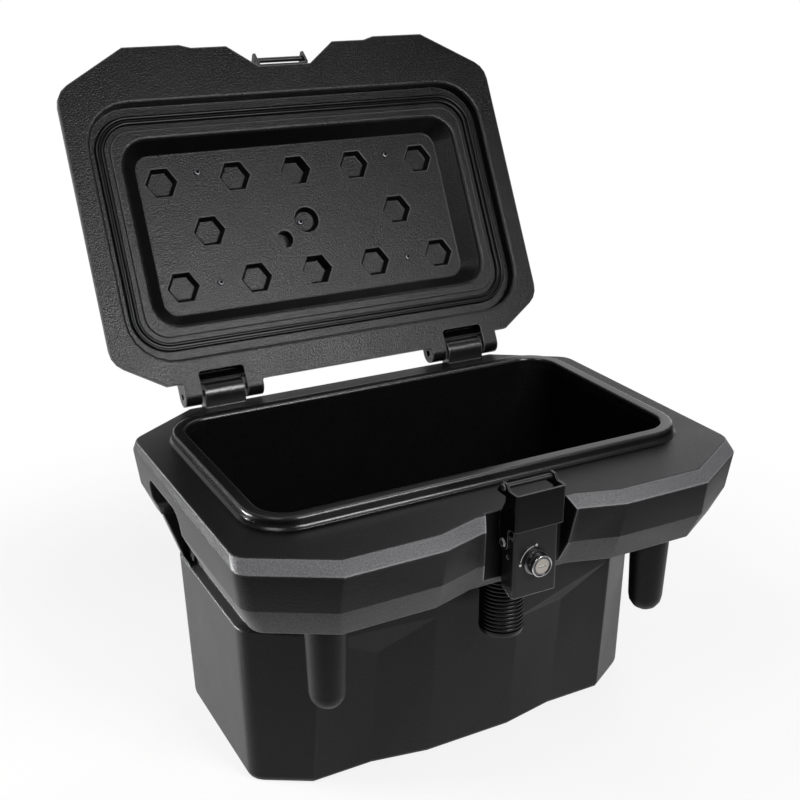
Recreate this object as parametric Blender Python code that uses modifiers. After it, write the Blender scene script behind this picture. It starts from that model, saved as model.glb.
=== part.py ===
# Cargo box for a utility terrain vehicle: a moulded tub with a hinged lid, a hook latch with a
# key lock, two mounting posts and a rubber expansion anchor.
# Metres, +Z up, +Y to the rear. The origin lies on the tub's underside, on the box's middle plane.
# The lid's pieces are modelled closed and then swung open about the hinge pins.

import math

import bmesh
import bpy
from mathutils import Matrix, Vector

# General fits
CLEARANCE = 0.0003
SHEET = 0.0025
BEND_RADIUS = 0.0035
BEND_INNER_RADIUS = 0.0012
HEAD_CROWN = 0.75

# Tub walls, measured at the underside
TUB_HALF_WIDTH = 0.2655
TUB_DEPTH = 0.2686
TUB_REAR = 0.180
TUB_SIDE_DRAFT = 0.0284
TUB_FRONT_DRAFT = 0.091
TUB_REAR_DRAFT = 0.029
TUB_CHAMFER_WIDTH = 0.0625
TUB_CHAMFER_DEPTH = 0.0365
TUB_REAR_CHAMFER_WIDTH = 0.045
TUB_REAR_CHAMFER_DEPTH = 0.027
TUB_CHAMFER_WIDTH_DRAFT = 0.0624
TUB_CHAMFER_DEPTH_DRAFT = 0.107
TUB_BOTTOM_ROUND = 0.008
TUB_WALL = 0.008
TUB_FLOOR = 0.012
CAVITY_RADIUS = 0.020
CAVITY_STEPS = 3

# Raised middle of the front wall, whose outer creases run out sideways under the ledge
BULGE_HALF_WIDTH = 0.057
BULGE_DEPTH = 0.0124
BULGE_SLOPE_WIDTH = 0.070
FACET_BELOW_LEDGE = 0.006
FACET_RISE = 0.035
FACET_CREASE_INSET = 0.007

# Ledge round the tub's sides
LEDGE_HEIGHT = 0.206
LEDGE_SLOPE = 0.007
LEDGE_INSET = 0.010

# Rim: its widest line lies under the bevelled band at the top
RIM_UNDERSIDE = 0.276
RIM_HEIGHT = 0.0894
RIM_BAND = 0.0126
RIM_CREASE = 0.034
RIM_OVERHANG_SIDE = 0.0505
RIM_OVERHANG_FRONT = 0.1439
RIM_OVERHANG_REAR = 0.049
RIM_CHAMFER_WIDTH = 0.091
RIM_FRONT_CHAMFER_DEPTH = 0.0535
RIM_REAR_CHAMFER_DEPTH = 0.0615
RIM_CORNER_RADIUS = 0.022
RIM_EDGE_ROUND = 0.0022
RIM_RECESS_HALF_WIDTH = 0.062
RIM_RECESS_SLOPE_WIDTH = 0.050
RIM_RECESS_DEPTH = 0.0148
# Insets from the widest line to the front, side and rear, and the scale of the corner chamfers
RIM_UNDERSIDE_INSETS = (0.0215, 0.0200, 0.0200)
RIM_CREASE_INSETS = (0.0075, 0.0055, 0.0060)
RIM_TOP_INSETS = (0.0130, 0.0030, 0.0050)
RIM_UNDERSIDE_CHAMFER = 0.83
RIM_CREASE_CHAMFER = 0.92

# Sealing lip round the tub's mouth
LIP_HEIGHT = 0.013
LIP_WIDTH = 0.0155
LIP_SIDE_SETBACK = 0.0475
LIP_FRONT_SETBACK = 0.0995
LIP_REAR_SETBACK = 0.066
LIP_RADIUS = 0.043
LIP_EDGE_ROUND = 0.003
LIP_FOOT_RADIUS = 0.006

# Handle recesses under the rim's sides
HANDLE_TOP_WALL = 0.0274
HANDLE_FRONT = 0.006
HANDLE_REAR = 0.112
HANDLE_FRONT_FLARE = 0.052
HANDLE_REAR_FLARE = 0.018
HANDLE_FLARE_HEIGHT = 0.021
HANDLE_CORNER_RADIUS = 0.016

# Flared rear of the wall, which closes the handle recesses behind
FLARE_TUCK = 0.0035
FLARE_OVERLAP = 0.007

# Mounting posts under the front rim
POST_FROM_SIDE = 0.103
POST_FROM_FRONT = 0.0755
POST_ROOT_RADIUS = 0.024
POST_TIP_RADIUS = 0.0205
POST_LENGTH = 0.120
POST_DOME = 0.0205
POST_ROOT_DEPTH = 0.012

# Hinges
HINGE_RADIUS = 0.0135
HINGE_BEHIND_RIM = 0.0035
HINGE_FROM_SIDE = 0.139
KNUCKLE_LENGTH = 0.0535
KNUCKLE_NECK = 0.030
EAR_LENGTH = 0.022
EAR_GAP = 0.0035
EAR_REACH = 0.034
HINGE_POCKET_DEPTH = 0.012
HINGE_POCKET_SKIN = 0.0035
HINGE_POCKET_ROUND = 0.004
HINGE_PIN_RADIUS = 0.004
HINGE_PIN_RECESS = 0.004
LID_OPEN_ANGLE = math.radians(117.35)

# Lid: v is the distance forward from its hinge edge
LID_GAP = 0.002
LID_SIDE_SETBACK = 0.005
LID_FRONT_SETBACK = 0.0082
LID_HINGE_GAP = 0.0016
LID_EDGE = 0.009
LID_SKIN = 0.003
LID_SHOULDER_HEIGHT = 0.033
LID_SHOULDER_INSET = 0.016
LID_TOP_INSET = 0.038
LID_FRONT_CHAMFER_WIDTH = 0.094
LID_FRONT_CHAMFER_DEPTH = 0.054
LID_REAR_CHAMFER_WIDTH = 0.063
LID_REAR_CHAMFER_DEPTH = 0.039
LID_CORNER_RADIUS = 0.030
LID_EDGE_ROUND = 0.0018
LID_FRONT_STEP = 0.0045
LID_FRONT_STEP_HALF_WIDTH = 0.1255
LID_FRONT_STEP_SLOPE = 0.0155
LID_HEEL = 0.0095
LID_HEEL_EAR_GAP = 0.0055
NOTCH_DEPTH = 0.0292
NOTCH_SLOPE = 1.35

# Underside of the lid: groove for the gasket, ridge, recess
GROOVE_SIDE_CLEARANCE = 0.0065
GROOVE_END_CLEARANCE = 0.0102
SEAT_EDGE_ROUND = 0.004
RIDGE_DEPTH = 0.0140
RIDGE_WIDTH = 0.014
RIDGE_ROUND = 0.005
GROOVE_INNER_GAP = 0.007
GASKET_WIDTH = 0.0125
GASKET_HEIGHT = 0.0046
GASKET_SEAL_GAP = 0.0006
GASKET_EDGE_ROUND = 0.0012
GASKET_SEAM = 0.0006
RECESS_DEPTH = 0.039
RECESS_DRAFT_SIDE = 0.020
RECESS_DRAFT_FRONT = 0.0135
RECESS_DRAFT_REAR = 0.0145
RECESS_RADIUS = 0.020

# Pockets in the recess floor
HEX_RADIUS = 0.0222
HEX_FLOOR_RADIUS = 0.0172
HEX_DEPTH = 0.009
HEX_DEEP_DEPTH = 0.016
HEX_FROM_SIDE = 0.031
HEX_FROM_END = 0.0367
HEX_INNER_FROM_SIDE = 0.13275
ROUND_RECESS_RADIUS = 0.018
ROUND_RECESS_FLOOR_RADIUS = 0.0135
ROUND_RECESS_DEPTH = 0.010
VENT_RADIUS = 0.0118
VENT_LEFT = 0.0374
VENT_BEHIND = 0.0235
VENT_DEPTH = 0.016
LID_SCREW_FROM_SIDE = 0.08175
LID_SCREW_FRONT_OFFSET = 0.010
ROUND_RECESS_SCREW_LEFT = 0.006
ROUND_RECESS_SCREW_LENGTH = 0.004

# Screws
SCREW_HEAD_RADIUS = 0.0045
SCREW_HEAD_HEIGHT = 0.0022
SCREW_RADIUS = 0.0022
SCREW_LENGTH = 0.009

# Latch: a lipped channel in the rim's front notch, a lever on a pivot pin
LATCH_NOTCH_FLOOR = 0.0325
LATCH_NOTCH_HALF_WIDTH = 0.048
LATCH_NOTCH_FLARE = 0.53
BASE_HALF_WIDTH = 0.0275
BASE_DEPTH = 0.0257
BASE_BOTTOM_DROP = 0.006
BASE_PLATE_HEIGHT = 0.084
BASE_FLANGE_HEIGHT = 0.069
BASE_FOOT_GAP_HALF = 0.011
BASE_HEEL_RISE = 0.008
BASE_SCREW_OUT = 0.018
BASE_SCREW_LOW = 0.024
BASE_SCREW_SPACING = 0.0245
PIVOT_ABOVE_BASE = 0.0615
PIVOT_FROM_NOTCH = 0.009
PIVOT_RADIUS = 0.003
PIVOT_HEAD_RADIUS = 0.0052
PIVOT_HEAD_HEIGHT = 0.0016
LEVER_SIDE_GAP = 0.0008
LEVER_FRONT_GAP = 0.003
LEVER_EYE_RADIUS = 0.0082
LEVER_COVER_BOTTOM = 0.0195
LEVER_COVER_TOP = 0.0620
LEVER_TOP = 0.0680
LEVER_SWEEP_RADIUS = 0.006
HOOK_ROUND = 0.0025
HOOK_ROOM = 0.001
HOOK_TIP_GAP = 0.001
HOOK_TIP_RISE = 0.003
HOOK_NECK_REACH = 0.0075
LATCH_BAR_RADIUS = 0.003
LATCH_BAR_RIVET_RADIUS = 0.0042
LATCH_BAR_RIVET_HEIGHT = 0.0014
LATCH_BAR_BELOW_TOP = 0.0048
LATCH_BAR_BEHIND_PIVOT = 0.0020
SIDE_HOLE_RADIUS = 0.0022
SIDE_HOLE_BELOW_PIVOT = 0.0165
SIDE_HOLE_FRONT_OF_PIVOT = 0.005

# Striker in the lid's notch
STRIKER_ROD_RADIUS = 0.0035
STRIKER_ROD_FROM_NOTCH = 0.003
STRIKER_ROD_ABOVE_FLANGE = 0.0136
STRIKER_ROD_PROUD = 0.0006
STRIKER_SIDE_GAP = 0.0028
STRIKER_NOTCH_GAP = 0.0011
STRIKER_SHEET = 0.003
STRIKER_PLATE_HEIGHT = 0.033
STRIKER_PLATE_ABOVE_FLANGE = 0.003
STRIKER_NOSE = 0.0095
STRIKER_NOSE_HALF_HEIGHT = 0.0022
STRIKER_SCREW_OUT = 0.0175
STRIKER_SCREW_ABOVE_ROD = 0.012

# Key lock on the latch base
LOCK_ABOVE_BASE = 0.039
LOCK_BEZEL_RADIUS = 0.0115
LOCK_BEZEL_LENGTH = 0.0122
LOCK_BEZEL_ROUND = 0.0015
LOCK_BARREL_RADIUS = 0.0092
LOCK_BARREL_LENGTH = 0.0125
LOCK_PLUG_RADIUS = 0.0066
LOCK_PLUG_RECESS = 0.0006
LOCK_PLUG_LIP_RADIUS = 0.0085
LOCK_PLUG_LIP_LENGTH = 0.0018
LOCK_NUT_RADIUS = 0.0140
LOCK_NUT_LENGTH = 0.0035
KEY_SLOT_LENGTH = 0.0082
KEY_SLOT_WIDTH = 0.0018
KEY_SLOT_DEPTH = 0.005
CAM_LENGTH = 0.017
CAM_HALF_WIDTH = 0.006
CAM_SHEET = 0.0022
CAM_SCREW_RADIUS = 0.002
CAM_SCREW_HEAD_RADIUS = 0.004
CAM_SCREW_HEAD_HEIGHT = 0.002
CAM_SCREW_LENGTH = 0.009

# Rubber anchor under the front rim
ANCHOR_FROM_FRONT = 0.0685
ANCHOR_RADIUS = 0.0255
ANCHOR_RIB_DEPTH = 0.0016
ANCHOR_RIB_PITCH = 0.0049
ANCHOR_RIBS = 15
ANCHOR_END_LENGTH = 0.008
ANCHOR_END_ROUND = 0.004
ANCHOR_BOLT_RADIUS = 0.005
ANCHOR_BOLT_HEAD_RADIUS = 0.007
ANCHOR_BOLT_HEAD_HEIGHT = 0.0028
ANCHOR_INSERT_RADIUS = 0.008
ANCHOR_INSERT_LENGTH = 0.020

# Heights and planes that several pieces share
FACET_HIGH = LEDGE_HEIGHT - FACET_BELOW_LEDGE
FACET_LOW = FACET_HIGH - FACET_RISE
RIM_TOP = RIM_UNDERSIDE + RIM_HEIGHT
RIM_HALF_WIDTH = TUB_HALF_WIDTH + RIM_OVERHANG_SIDE
TUB_FRONT = TUB_DEPTH - TUB_REAR
RIM_FRONT = -(TUB_FRONT + RIM_OVERHANG_FRONT)
RIM_REAR = TUB_REAR + RIM_OVERHANG_REAR
LIP_TOP = RIM_TOP + LIP_HEIGHT
LIP_HALF_WIDTH = RIM_HALF_WIDTH - LIP_SIDE_SETBACK
LIP_FRONT = RIM_FRONT + LIP_FRONT_SETBACK
LIP_REAR = RIM_REAR - LIP_REAR_SETBACK
FLANGE = RIM_TOP + LID_GAP
HINGE_X = RIM_HALF_WIDTH - HINGE_FROM_SIDE
HINGE_Y = RIM_REAR - RIM_TOP_INSETS[2] + HINGE_BEHIND_RIM
HINGE_Z = FLANGE + HINGE_RADIUS
LID_HALF_WIDTH = RIM_HALF_WIDTH - LID_SIDE_SETBACK
LID_FRONT = RIM_FRONT + LID_FRONT_SETBACK
LID_REAR = HINGE_Y - HINGE_RADIUS - LID_HINGE_GAP
NOTCH_WALL = LID_FRONT + LID_FRONT_STEP + NOTCH_DEPTH
GASKET_FACE = LIP_TOP + GASKET_SEAL_GAP
GROOVE_FLOOR = GASKET_FACE + GASKET_HEIGHT + CLEARANCE
RECESS_FLOOR = FLANGE + RECESS_DEPTH
POCKET_ROOM = max(HEX_DEEP_DEPTH, VENT_DEPTH, SCREW_LENGTH, ROUND_RECESS_DEPTH + ROUND_RECESS_SCREW_LENGTH)
LID_TOP = RECESS_FLOOR + POCKET_ROOM + LID_SKIN
EAR_START = KNUCKLE_LENGTH / 2 + EAR_GAP
LID_HEEL_HALF_WIDTH = HINGE_X - EAR_START - EAR_LENGTH - LID_HEEL_EAR_GAP
LATCH_FLOOR_Y = RIM_FRONT + LATCH_NOTCH_FLOOR
BASE_BOTTOM = RIM_UNDERSIDE - BASE_BOTTOM_DROP
BASE_REAR = LATCH_FLOOR_Y - CLEARANCE
BASE_FRONT = BASE_REAR - BASE_DEPTH
PIVOT_Y = LATCH_FLOOR_Y - PIVOT_FROM_NOTCH
PIVOT_Z = BASE_BOTTOM + PIVOT_ABOVE_BASE
LEVER_INNER = BASE_HALF_WIDTH + LEVER_SIDE_GAP
LEVER_OUTER = LEVER_INNER + SHEET
ROD_Y = LATCH_FLOOR_Y - STRIKER_ROD_FROM_NOTCH
ROD_Z = FLANGE + STRIKER_ROD_ABOVE_FLANGE
HOOK_UNDERSIDE = ROD_Z + STRIKER_ROD_RADIUS + HOOK_ROOM
LATCH_BAR_Y = PIVOT_Y + LATCH_BAR_BEHIND_PIVOT
LATCH_BAR_Z = PIVOT_Z + LEVER_TOP - LATCH_BAR_BELOW_TOP
STRIKER_INNER = LEVER_OUTER + STRIKER_SIDE_GAP
STRIKER_OUTER = STRIKER_INNER + STRIKER_SHEET
NOTCH_HALF_WIDTH = STRIKER_OUTER + STRIKER_NOTCH_GAP
STRIKER_REAR = NOTCH_WALL - CLEARANCE
STRIKER_PLATE_FRONT = STRIKER_REAR - STRIKER_SHEET
LOCK_Z = BASE_BOTTOM + LOCK_ABOVE_BASE
BASE_PLATE_REAR = BASE_FRONT + SHEET
BARREL_END = BASE_FRONT + LOCK_BARREL_LENGTH
POST_X = RIM_HALF_WIDTH - POST_FROM_SIDE
POST_Y = RIM_FRONT + POST_FROM_FRONT
ANCHOR_Y = RIM_FRONT + ANCHOR_FROM_FRONT
ANCHOR_TOP = RIM_UNDERSIDE - CLEARANCE
ANCHOR_BOTTOM = ANCHOR_TOP - ANCHOR_RIBS * ANCHOR_RIB_PITCH - ANCHOR_END_LENGTH


# Scene, collections and materials

for old in list(bpy.data.objects):
    bpy.data.objects.remove(old, do_unlink=True)

PARTS = bpy.data.collections.new("cargo_box")
CUTTERS = bpy.data.collections.new("cutters")
for collection in (PARTS, CUTTERS):
    bpy.context.scene.collection.children.link(collection)


def material(name, colour, roughness, metallic=0.0):
    made = bpy.data.materials.new(name)
    made.use_nodes = True
    shader = made.node_tree.nodes["Principled BSDF"]
    shader.inputs["Base Color"].default_value = (*colour, 1.0)
    shader.inputs["Roughness"].default_value = roughness
    shader.inputs["Metallic"].default_value = metallic
    return made


POLYETHYLENE = material("black_polyethylene", (0.012, 0.012, 0.013), 0.48)
RUBBER = material("black_rubber", (0.008, 0.008, 0.008), 0.65)
BLACK_STEEL = material("black_powder_coat", (0.010, 0.010, 0.011), 0.35, 0.2)
BRIGHT_STEEL = material("bright_steel", (0.55, 0.55, 0.56), 0.30, 1.0)
CHROME = material("chrome", (0.62, 0.62, 0.63), 0.15, 1.0)
BRASS = material("brass", (0.60, 0.45, 0.20), 0.35, 1.0)


# Modelling tools

def add_object(name, mesh, finish=None):
    """A part when it has a finish, and otherwise a hidden cutter or joined piece."""
    made = bpy.data.objects.new(name, mesh)
    if finish:
        mesh.materials.append(finish)
        PARTS.objects.link(made)
    else:
        CUTTERS.objects.link(made)
        made.hide_render = True
        made.display_type = "WIRE"
    return made


def from_bmesh(name, shape, finish=None):
    bmesh.ops.recalc_face_normals(shape, faces=shape.faces)
    if shape.calc_volume(signed=True) < 0:
        bmesh.ops.reverse_faces(shape, faces=shape.faces)
    mesh = bpy.data.meshes.new(name)
    shape.to_mesh(mesh)
    shape.free()
    return add_object(name, mesh, finish)


def loft(name, rings, finish=None):
    """A closed skin through rings of equally many points, from the lowest ring to the highest."""
    shape = bmesh.new()
    loops = [[shape.verts.new(point) for point in ring] for ring in rings]
    for low, high in zip(loops, loops[1:]):
        for i in range(len(low)):
            j = (i + 1) % len(low)
            shape.faces.new((low[i], low[j], high[j], high[i]))
    shape.faces.new(reversed(loops[0]))
    shape.faces.new(loops[-1])
    return from_bmesh(name, shape, finish)


def level(outline, z):
    return [Vector((point[0], point[1], z)) for point in outline]


AXIS_FRAMES = {
    "X": Matrix(((0, 0, 1, 0), (1, 0, 0, 0), (0, 1, 0, 0), (0, 0, 0, 1))),
    "Y": Matrix(((1, 0, 0, 0), (0, 0, 1, 0), (0, 1, 0, 0), (0, 0, 0, 1))),
    "Z": Matrix.Identity(4),
}


def prism(name, axis, outline, start, end, finish=None):
    """An outline in the plane square to the axis, extruded along it: (y, z), (x, z) or (x, y) points."""
    shape = bmesh.new()
    face = shape.faces.new([shape.verts.new((a, b, start)) for a, b in outline])
    grown = bmesh.ops.extrude_face_region(shape, geom=[face])
    top = [item for item in grown["geom"] if isinstance(item, bmesh.types.BMVert)]
    bmesh.ops.translate(shape, verts=top, vec=(0, 0, end - start))
    bmesh.ops.transform(shape, matrix=AXIS_FRAMES[axis], verts=shape.verts)
    return from_bmesh(name, shape, finish)


def box(name, low, high, finish=None):
    shape = bmesh.new()
    bmesh.ops.create_cube(shape, size=1.0)
    low, high = Vector(low), Vector(high)
    bmesh.ops.scale(shape, vec=high - low, verts=shape.verts)
    bmesh.ops.translate(shape, vec=(low + high) / 2, verts=shape.verts)
    return from_bmesh(name, shape, finish)


def cylinder(name, axis, centre, radius, start, end, sides=24, end_radius=None, turn=0.0, finish=None):
    """A round, conical or, with few sides, prismatic bar along an axis, centred on a point square to it."""
    shape = bmesh.new()
    bmesh.ops.create_cone(shape, cap_ends=True, segments=sides, radius1=radius,
                          radius2=radius if end_radius is None else end_radius, depth=end - start,
                          matrix=Matrix.Rotation(turn, 4, "Z"))
    bmesh.ops.translate(shape, vec=(centre[0], centre[1], (start + end) / 2), verts=shape.verts)
    bmesh.ops.transform(shape, matrix=AXIS_FRAMES[axis], verts=shape.verts)
    return from_bmesh(name, shape, finish)


def turned(name, profile, location, rotation=(0, 0, 0), steps=24, closed=False, finish=None):
    """A profile of (radius, height) points from top to bottom, turned about its own Z axis."""
    mesh = bpy.data.meshes.new(name)
    edges = [(i, i + 1) for i in range(len(profile) - 1)]
    if closed:
        edges.append((len(profile) - 1, 0))
    mesh.from_pydata([(radius, 0, height) for radius, height in profile], edges, [])
    made = add_object(name, mesh, finish)
    made.location = location
    made.rotation_euler = rotation
    screw = made.modifiers.new("turn", "SCREW")
    screw.steps = steps
    screw.render_steps = steps
    screw.use_merge_vertices = True
    screw.merge_threshold = 0.00002
    return made


def combine(target, other, operation):
    boolean = target.modifiers.new(other.name, "BOOLEAN")
    boolean.object = other
    boolean.operation = operation


def cut(target, *others):
    for other in others:
        combine(target, other, "DIFFERENCE")


def join(target, *others):
    for other in others:
        combine(target, other, "UNION")


def round_edges(target, width, segments=2, angle=25):
    bevel = target.modifiers.new("edges", "BEVEL")
    bevel.width = width
    bevel.segments = segments
    bevel.limit_method = "ANGLE"
    bevel.angle_limit = math.radians(angle)


# Outlines

def arc(centre, radius, start, end, steps):
    """Points on a circle, from one angle in degrees to another."""
    angles = [math.radians(start + (end - start) * i / steps) for i in range(steps + 1)]
    return [(centre[0] + radius * math.cos(a), centre[1] + radius * math.sin(a)) for a in angles]


def rounded(outline, radii, steps=3):
    """The outline with the corners whose radius isn't zero replaced by arcs."""
    points = [Vector(point) for point in outline]
    made = []
    for i, corner in enumerate(points):
        if not radii[i]:
            made.append(corner)
            continue
        back = (points[i - 1] - corner).normalized()
        ahead = (points[(i + 1) % len(points)] - corner).normalized()
        half = back.angle(ahead) / 2
        tangent = radii[i] / math.tan(half)
        middle = corner + (back + ahead).normalized() * radii[i] / math.sin(half)
        first = corner + back * tangent - middle
        turn = first.angle_signed(corner + ahead * tangent - middle)
        for step in range(steps + 1):
            swing = Matrix.Rotation(-turn * step / steps, 2)
            made.append(middle + swing @ first)
    return made


def mirrored(half):
    """A closed outline from its right half, given from the front to the rear."""
    right = [Vector(point) for point in half]
    return right + [Vector((-point.x, point.y)) for point in reversed(right)]


def inset(outline, distance):
    """The outline moved inwards by a distance along all its edges."""
    moved = []
    for i, corner in enumerate(outline):
        before = corner - outline[i - 1]
        after = outline[(i + 1) % len(outline)] - corner
        first = Vector((-before.y, before.x)).normalized()
        second = Vector((-after.y, after.x)).normalized()
        moved.append(corner + (first + second) * distance / (1 + first.dot(second)))
    return moved


def round_rectangle(half_width, front, rear, radius, steps=6):
    corners = [(half_width, front), (half_width, rear), (-half_width, rear), (-half_width, front)]
    return rounded(corners, [radius] * 4, steps)


# Tub

def tub_outline(z, side_inset=0.0):
    """The tub's wall at a height under the rim."""
    half = TUB_HALF_WIDTH + TUB_SIDE_DRAFT * z - side_inset
    front = -TUB_FRONT - TUB_FRONT_DRAFT * z
    rear = TUB_REAR + TUB_REAR_DRAFT * z - side_inset
    chamfer_width = TUB_CHAMFER_WIDTH + TUB_CHAMFER_WIDTH_DRAFT * z - side_inset
    chamfer_depth = TUB_CHAMFER_DEPTH + TUB_CHAMFER_DEPTH_DRAFT * z
    crease = BULGE_HALF_WIDTH + BULGE_SLOPE_WIDTH
    spread = min(max((z - FACET_LOW) / (FACET_HIGH - FACET_LOW), 0.0), 1.0)
    crease += (half - chamfer_width - FACET_CREASE_INSET - crease) * spread
    half_outline = [
        (BULGE_HALF_WIDTH, front - BULGE_DEPTH),
        (crease, front),
        (half - chamfer_width, front),
        (half, front + chamfer_depth),
        (half, rear - TUB_REAR_CHAMFER_DEPTH),
        (half - TUB_REAR_CHAMFER_WIDTH, rear),
    ]
    return mirrored(half_outline)


def rim_outline(insets, chamfer=1.0):
    """The rim's wall at one of its levels."""
    front = RIM_FRONT + insets[0]
    half = RIM_HALF_WIDTH - insets[1]
    rear = RIM_REAR - insets[2]
    width = RIM_CHAMFER_WIDTH * chamfer
    front_depth = RIM_FRONT_CHAMFER_DEPTH * chamfer
    rear_depth = RIM_REAR_CHAMFER_DEPTH * chamfer
    return mirrored([
        (RIM_RECESS_HALF_WIDTH, front + RIM_RECESS_DEPTH),
        (RIM_RECESS_HALF_WIDTH + RIM_RECESS_SLOPE_WIDTH, front),
        (half - width, front),
        (half, front + front_depth),
        (half, rear - rear_depth),
        (half - width, rear),
    ])


def with_round_corners(outline):
    """Rounds the four corners where the chamfers meet the sides."""
    radii = [0.0] * len(outline)
    for i in (3, 4, 7, 8):
        radii[i] = RIM_CORNER_RADIUS
    return rounded(outline, radii)


def cavity_ring(z, side_inset, rear):
    """The inside of the tub's wall at a height, with two rounded corners to each chamfer."""
    outer = tub_outline(z, side_inset)
    chamfer_start, side_front = outer[2], outer[3]
    half = side_front.x
    corners = mirrored([
        chamfer_start, side_front, (half, rear + TUB_WALL - TUB_REAR_CHAMFER_DEPTH),
        (half - TUB_REAR_CHAMFER_WIDTH, rear + TUB_WALL),
    ])
    return level(rounded(inset(corners, TUB_WALL), [CAVITY_RADIUS] * len(corners), CAVITY_STEPS), z)


def rear_ring(outline, z):
    """The part of a wall's outline behind the handle recesses, with its side corners rounded."""
    corners = [(outline[4].x, HANDLE_REAR), *outline[4:8], (outline[7].x, HANDLE_REAR)]
    return level(rounded(corners, [0, RIM_CORNER_RADIUS, 0, 0, RIM_CORNER_RADIUS, 0]), z)


def lip_ring(offset, z, steps=6):
    """A ring round the lip's middle line, moved outwards by a distance."""
    outline = round_rectangle(LIP_HALF_WIDTH + offset, LIP_FRONT - offset, LIP_REAR + offset,
                              LIP_RADIUS + offset, steps)
    return level(outline, z)


def quarter_round(radius, steps):
    """Distances (out, down) from a corner along the round that replaces it, from face to face."""
    angles = [math.radians(90 * i / steps) for i in range(steps + 1)]
    return [(radius * (1 - math.sin(a)), radius * (1 - math.cos(a))) for a in angles]


def hinge_sides():
    return (("left", -HINGE_X), ("right", HINGE_X))


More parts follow.
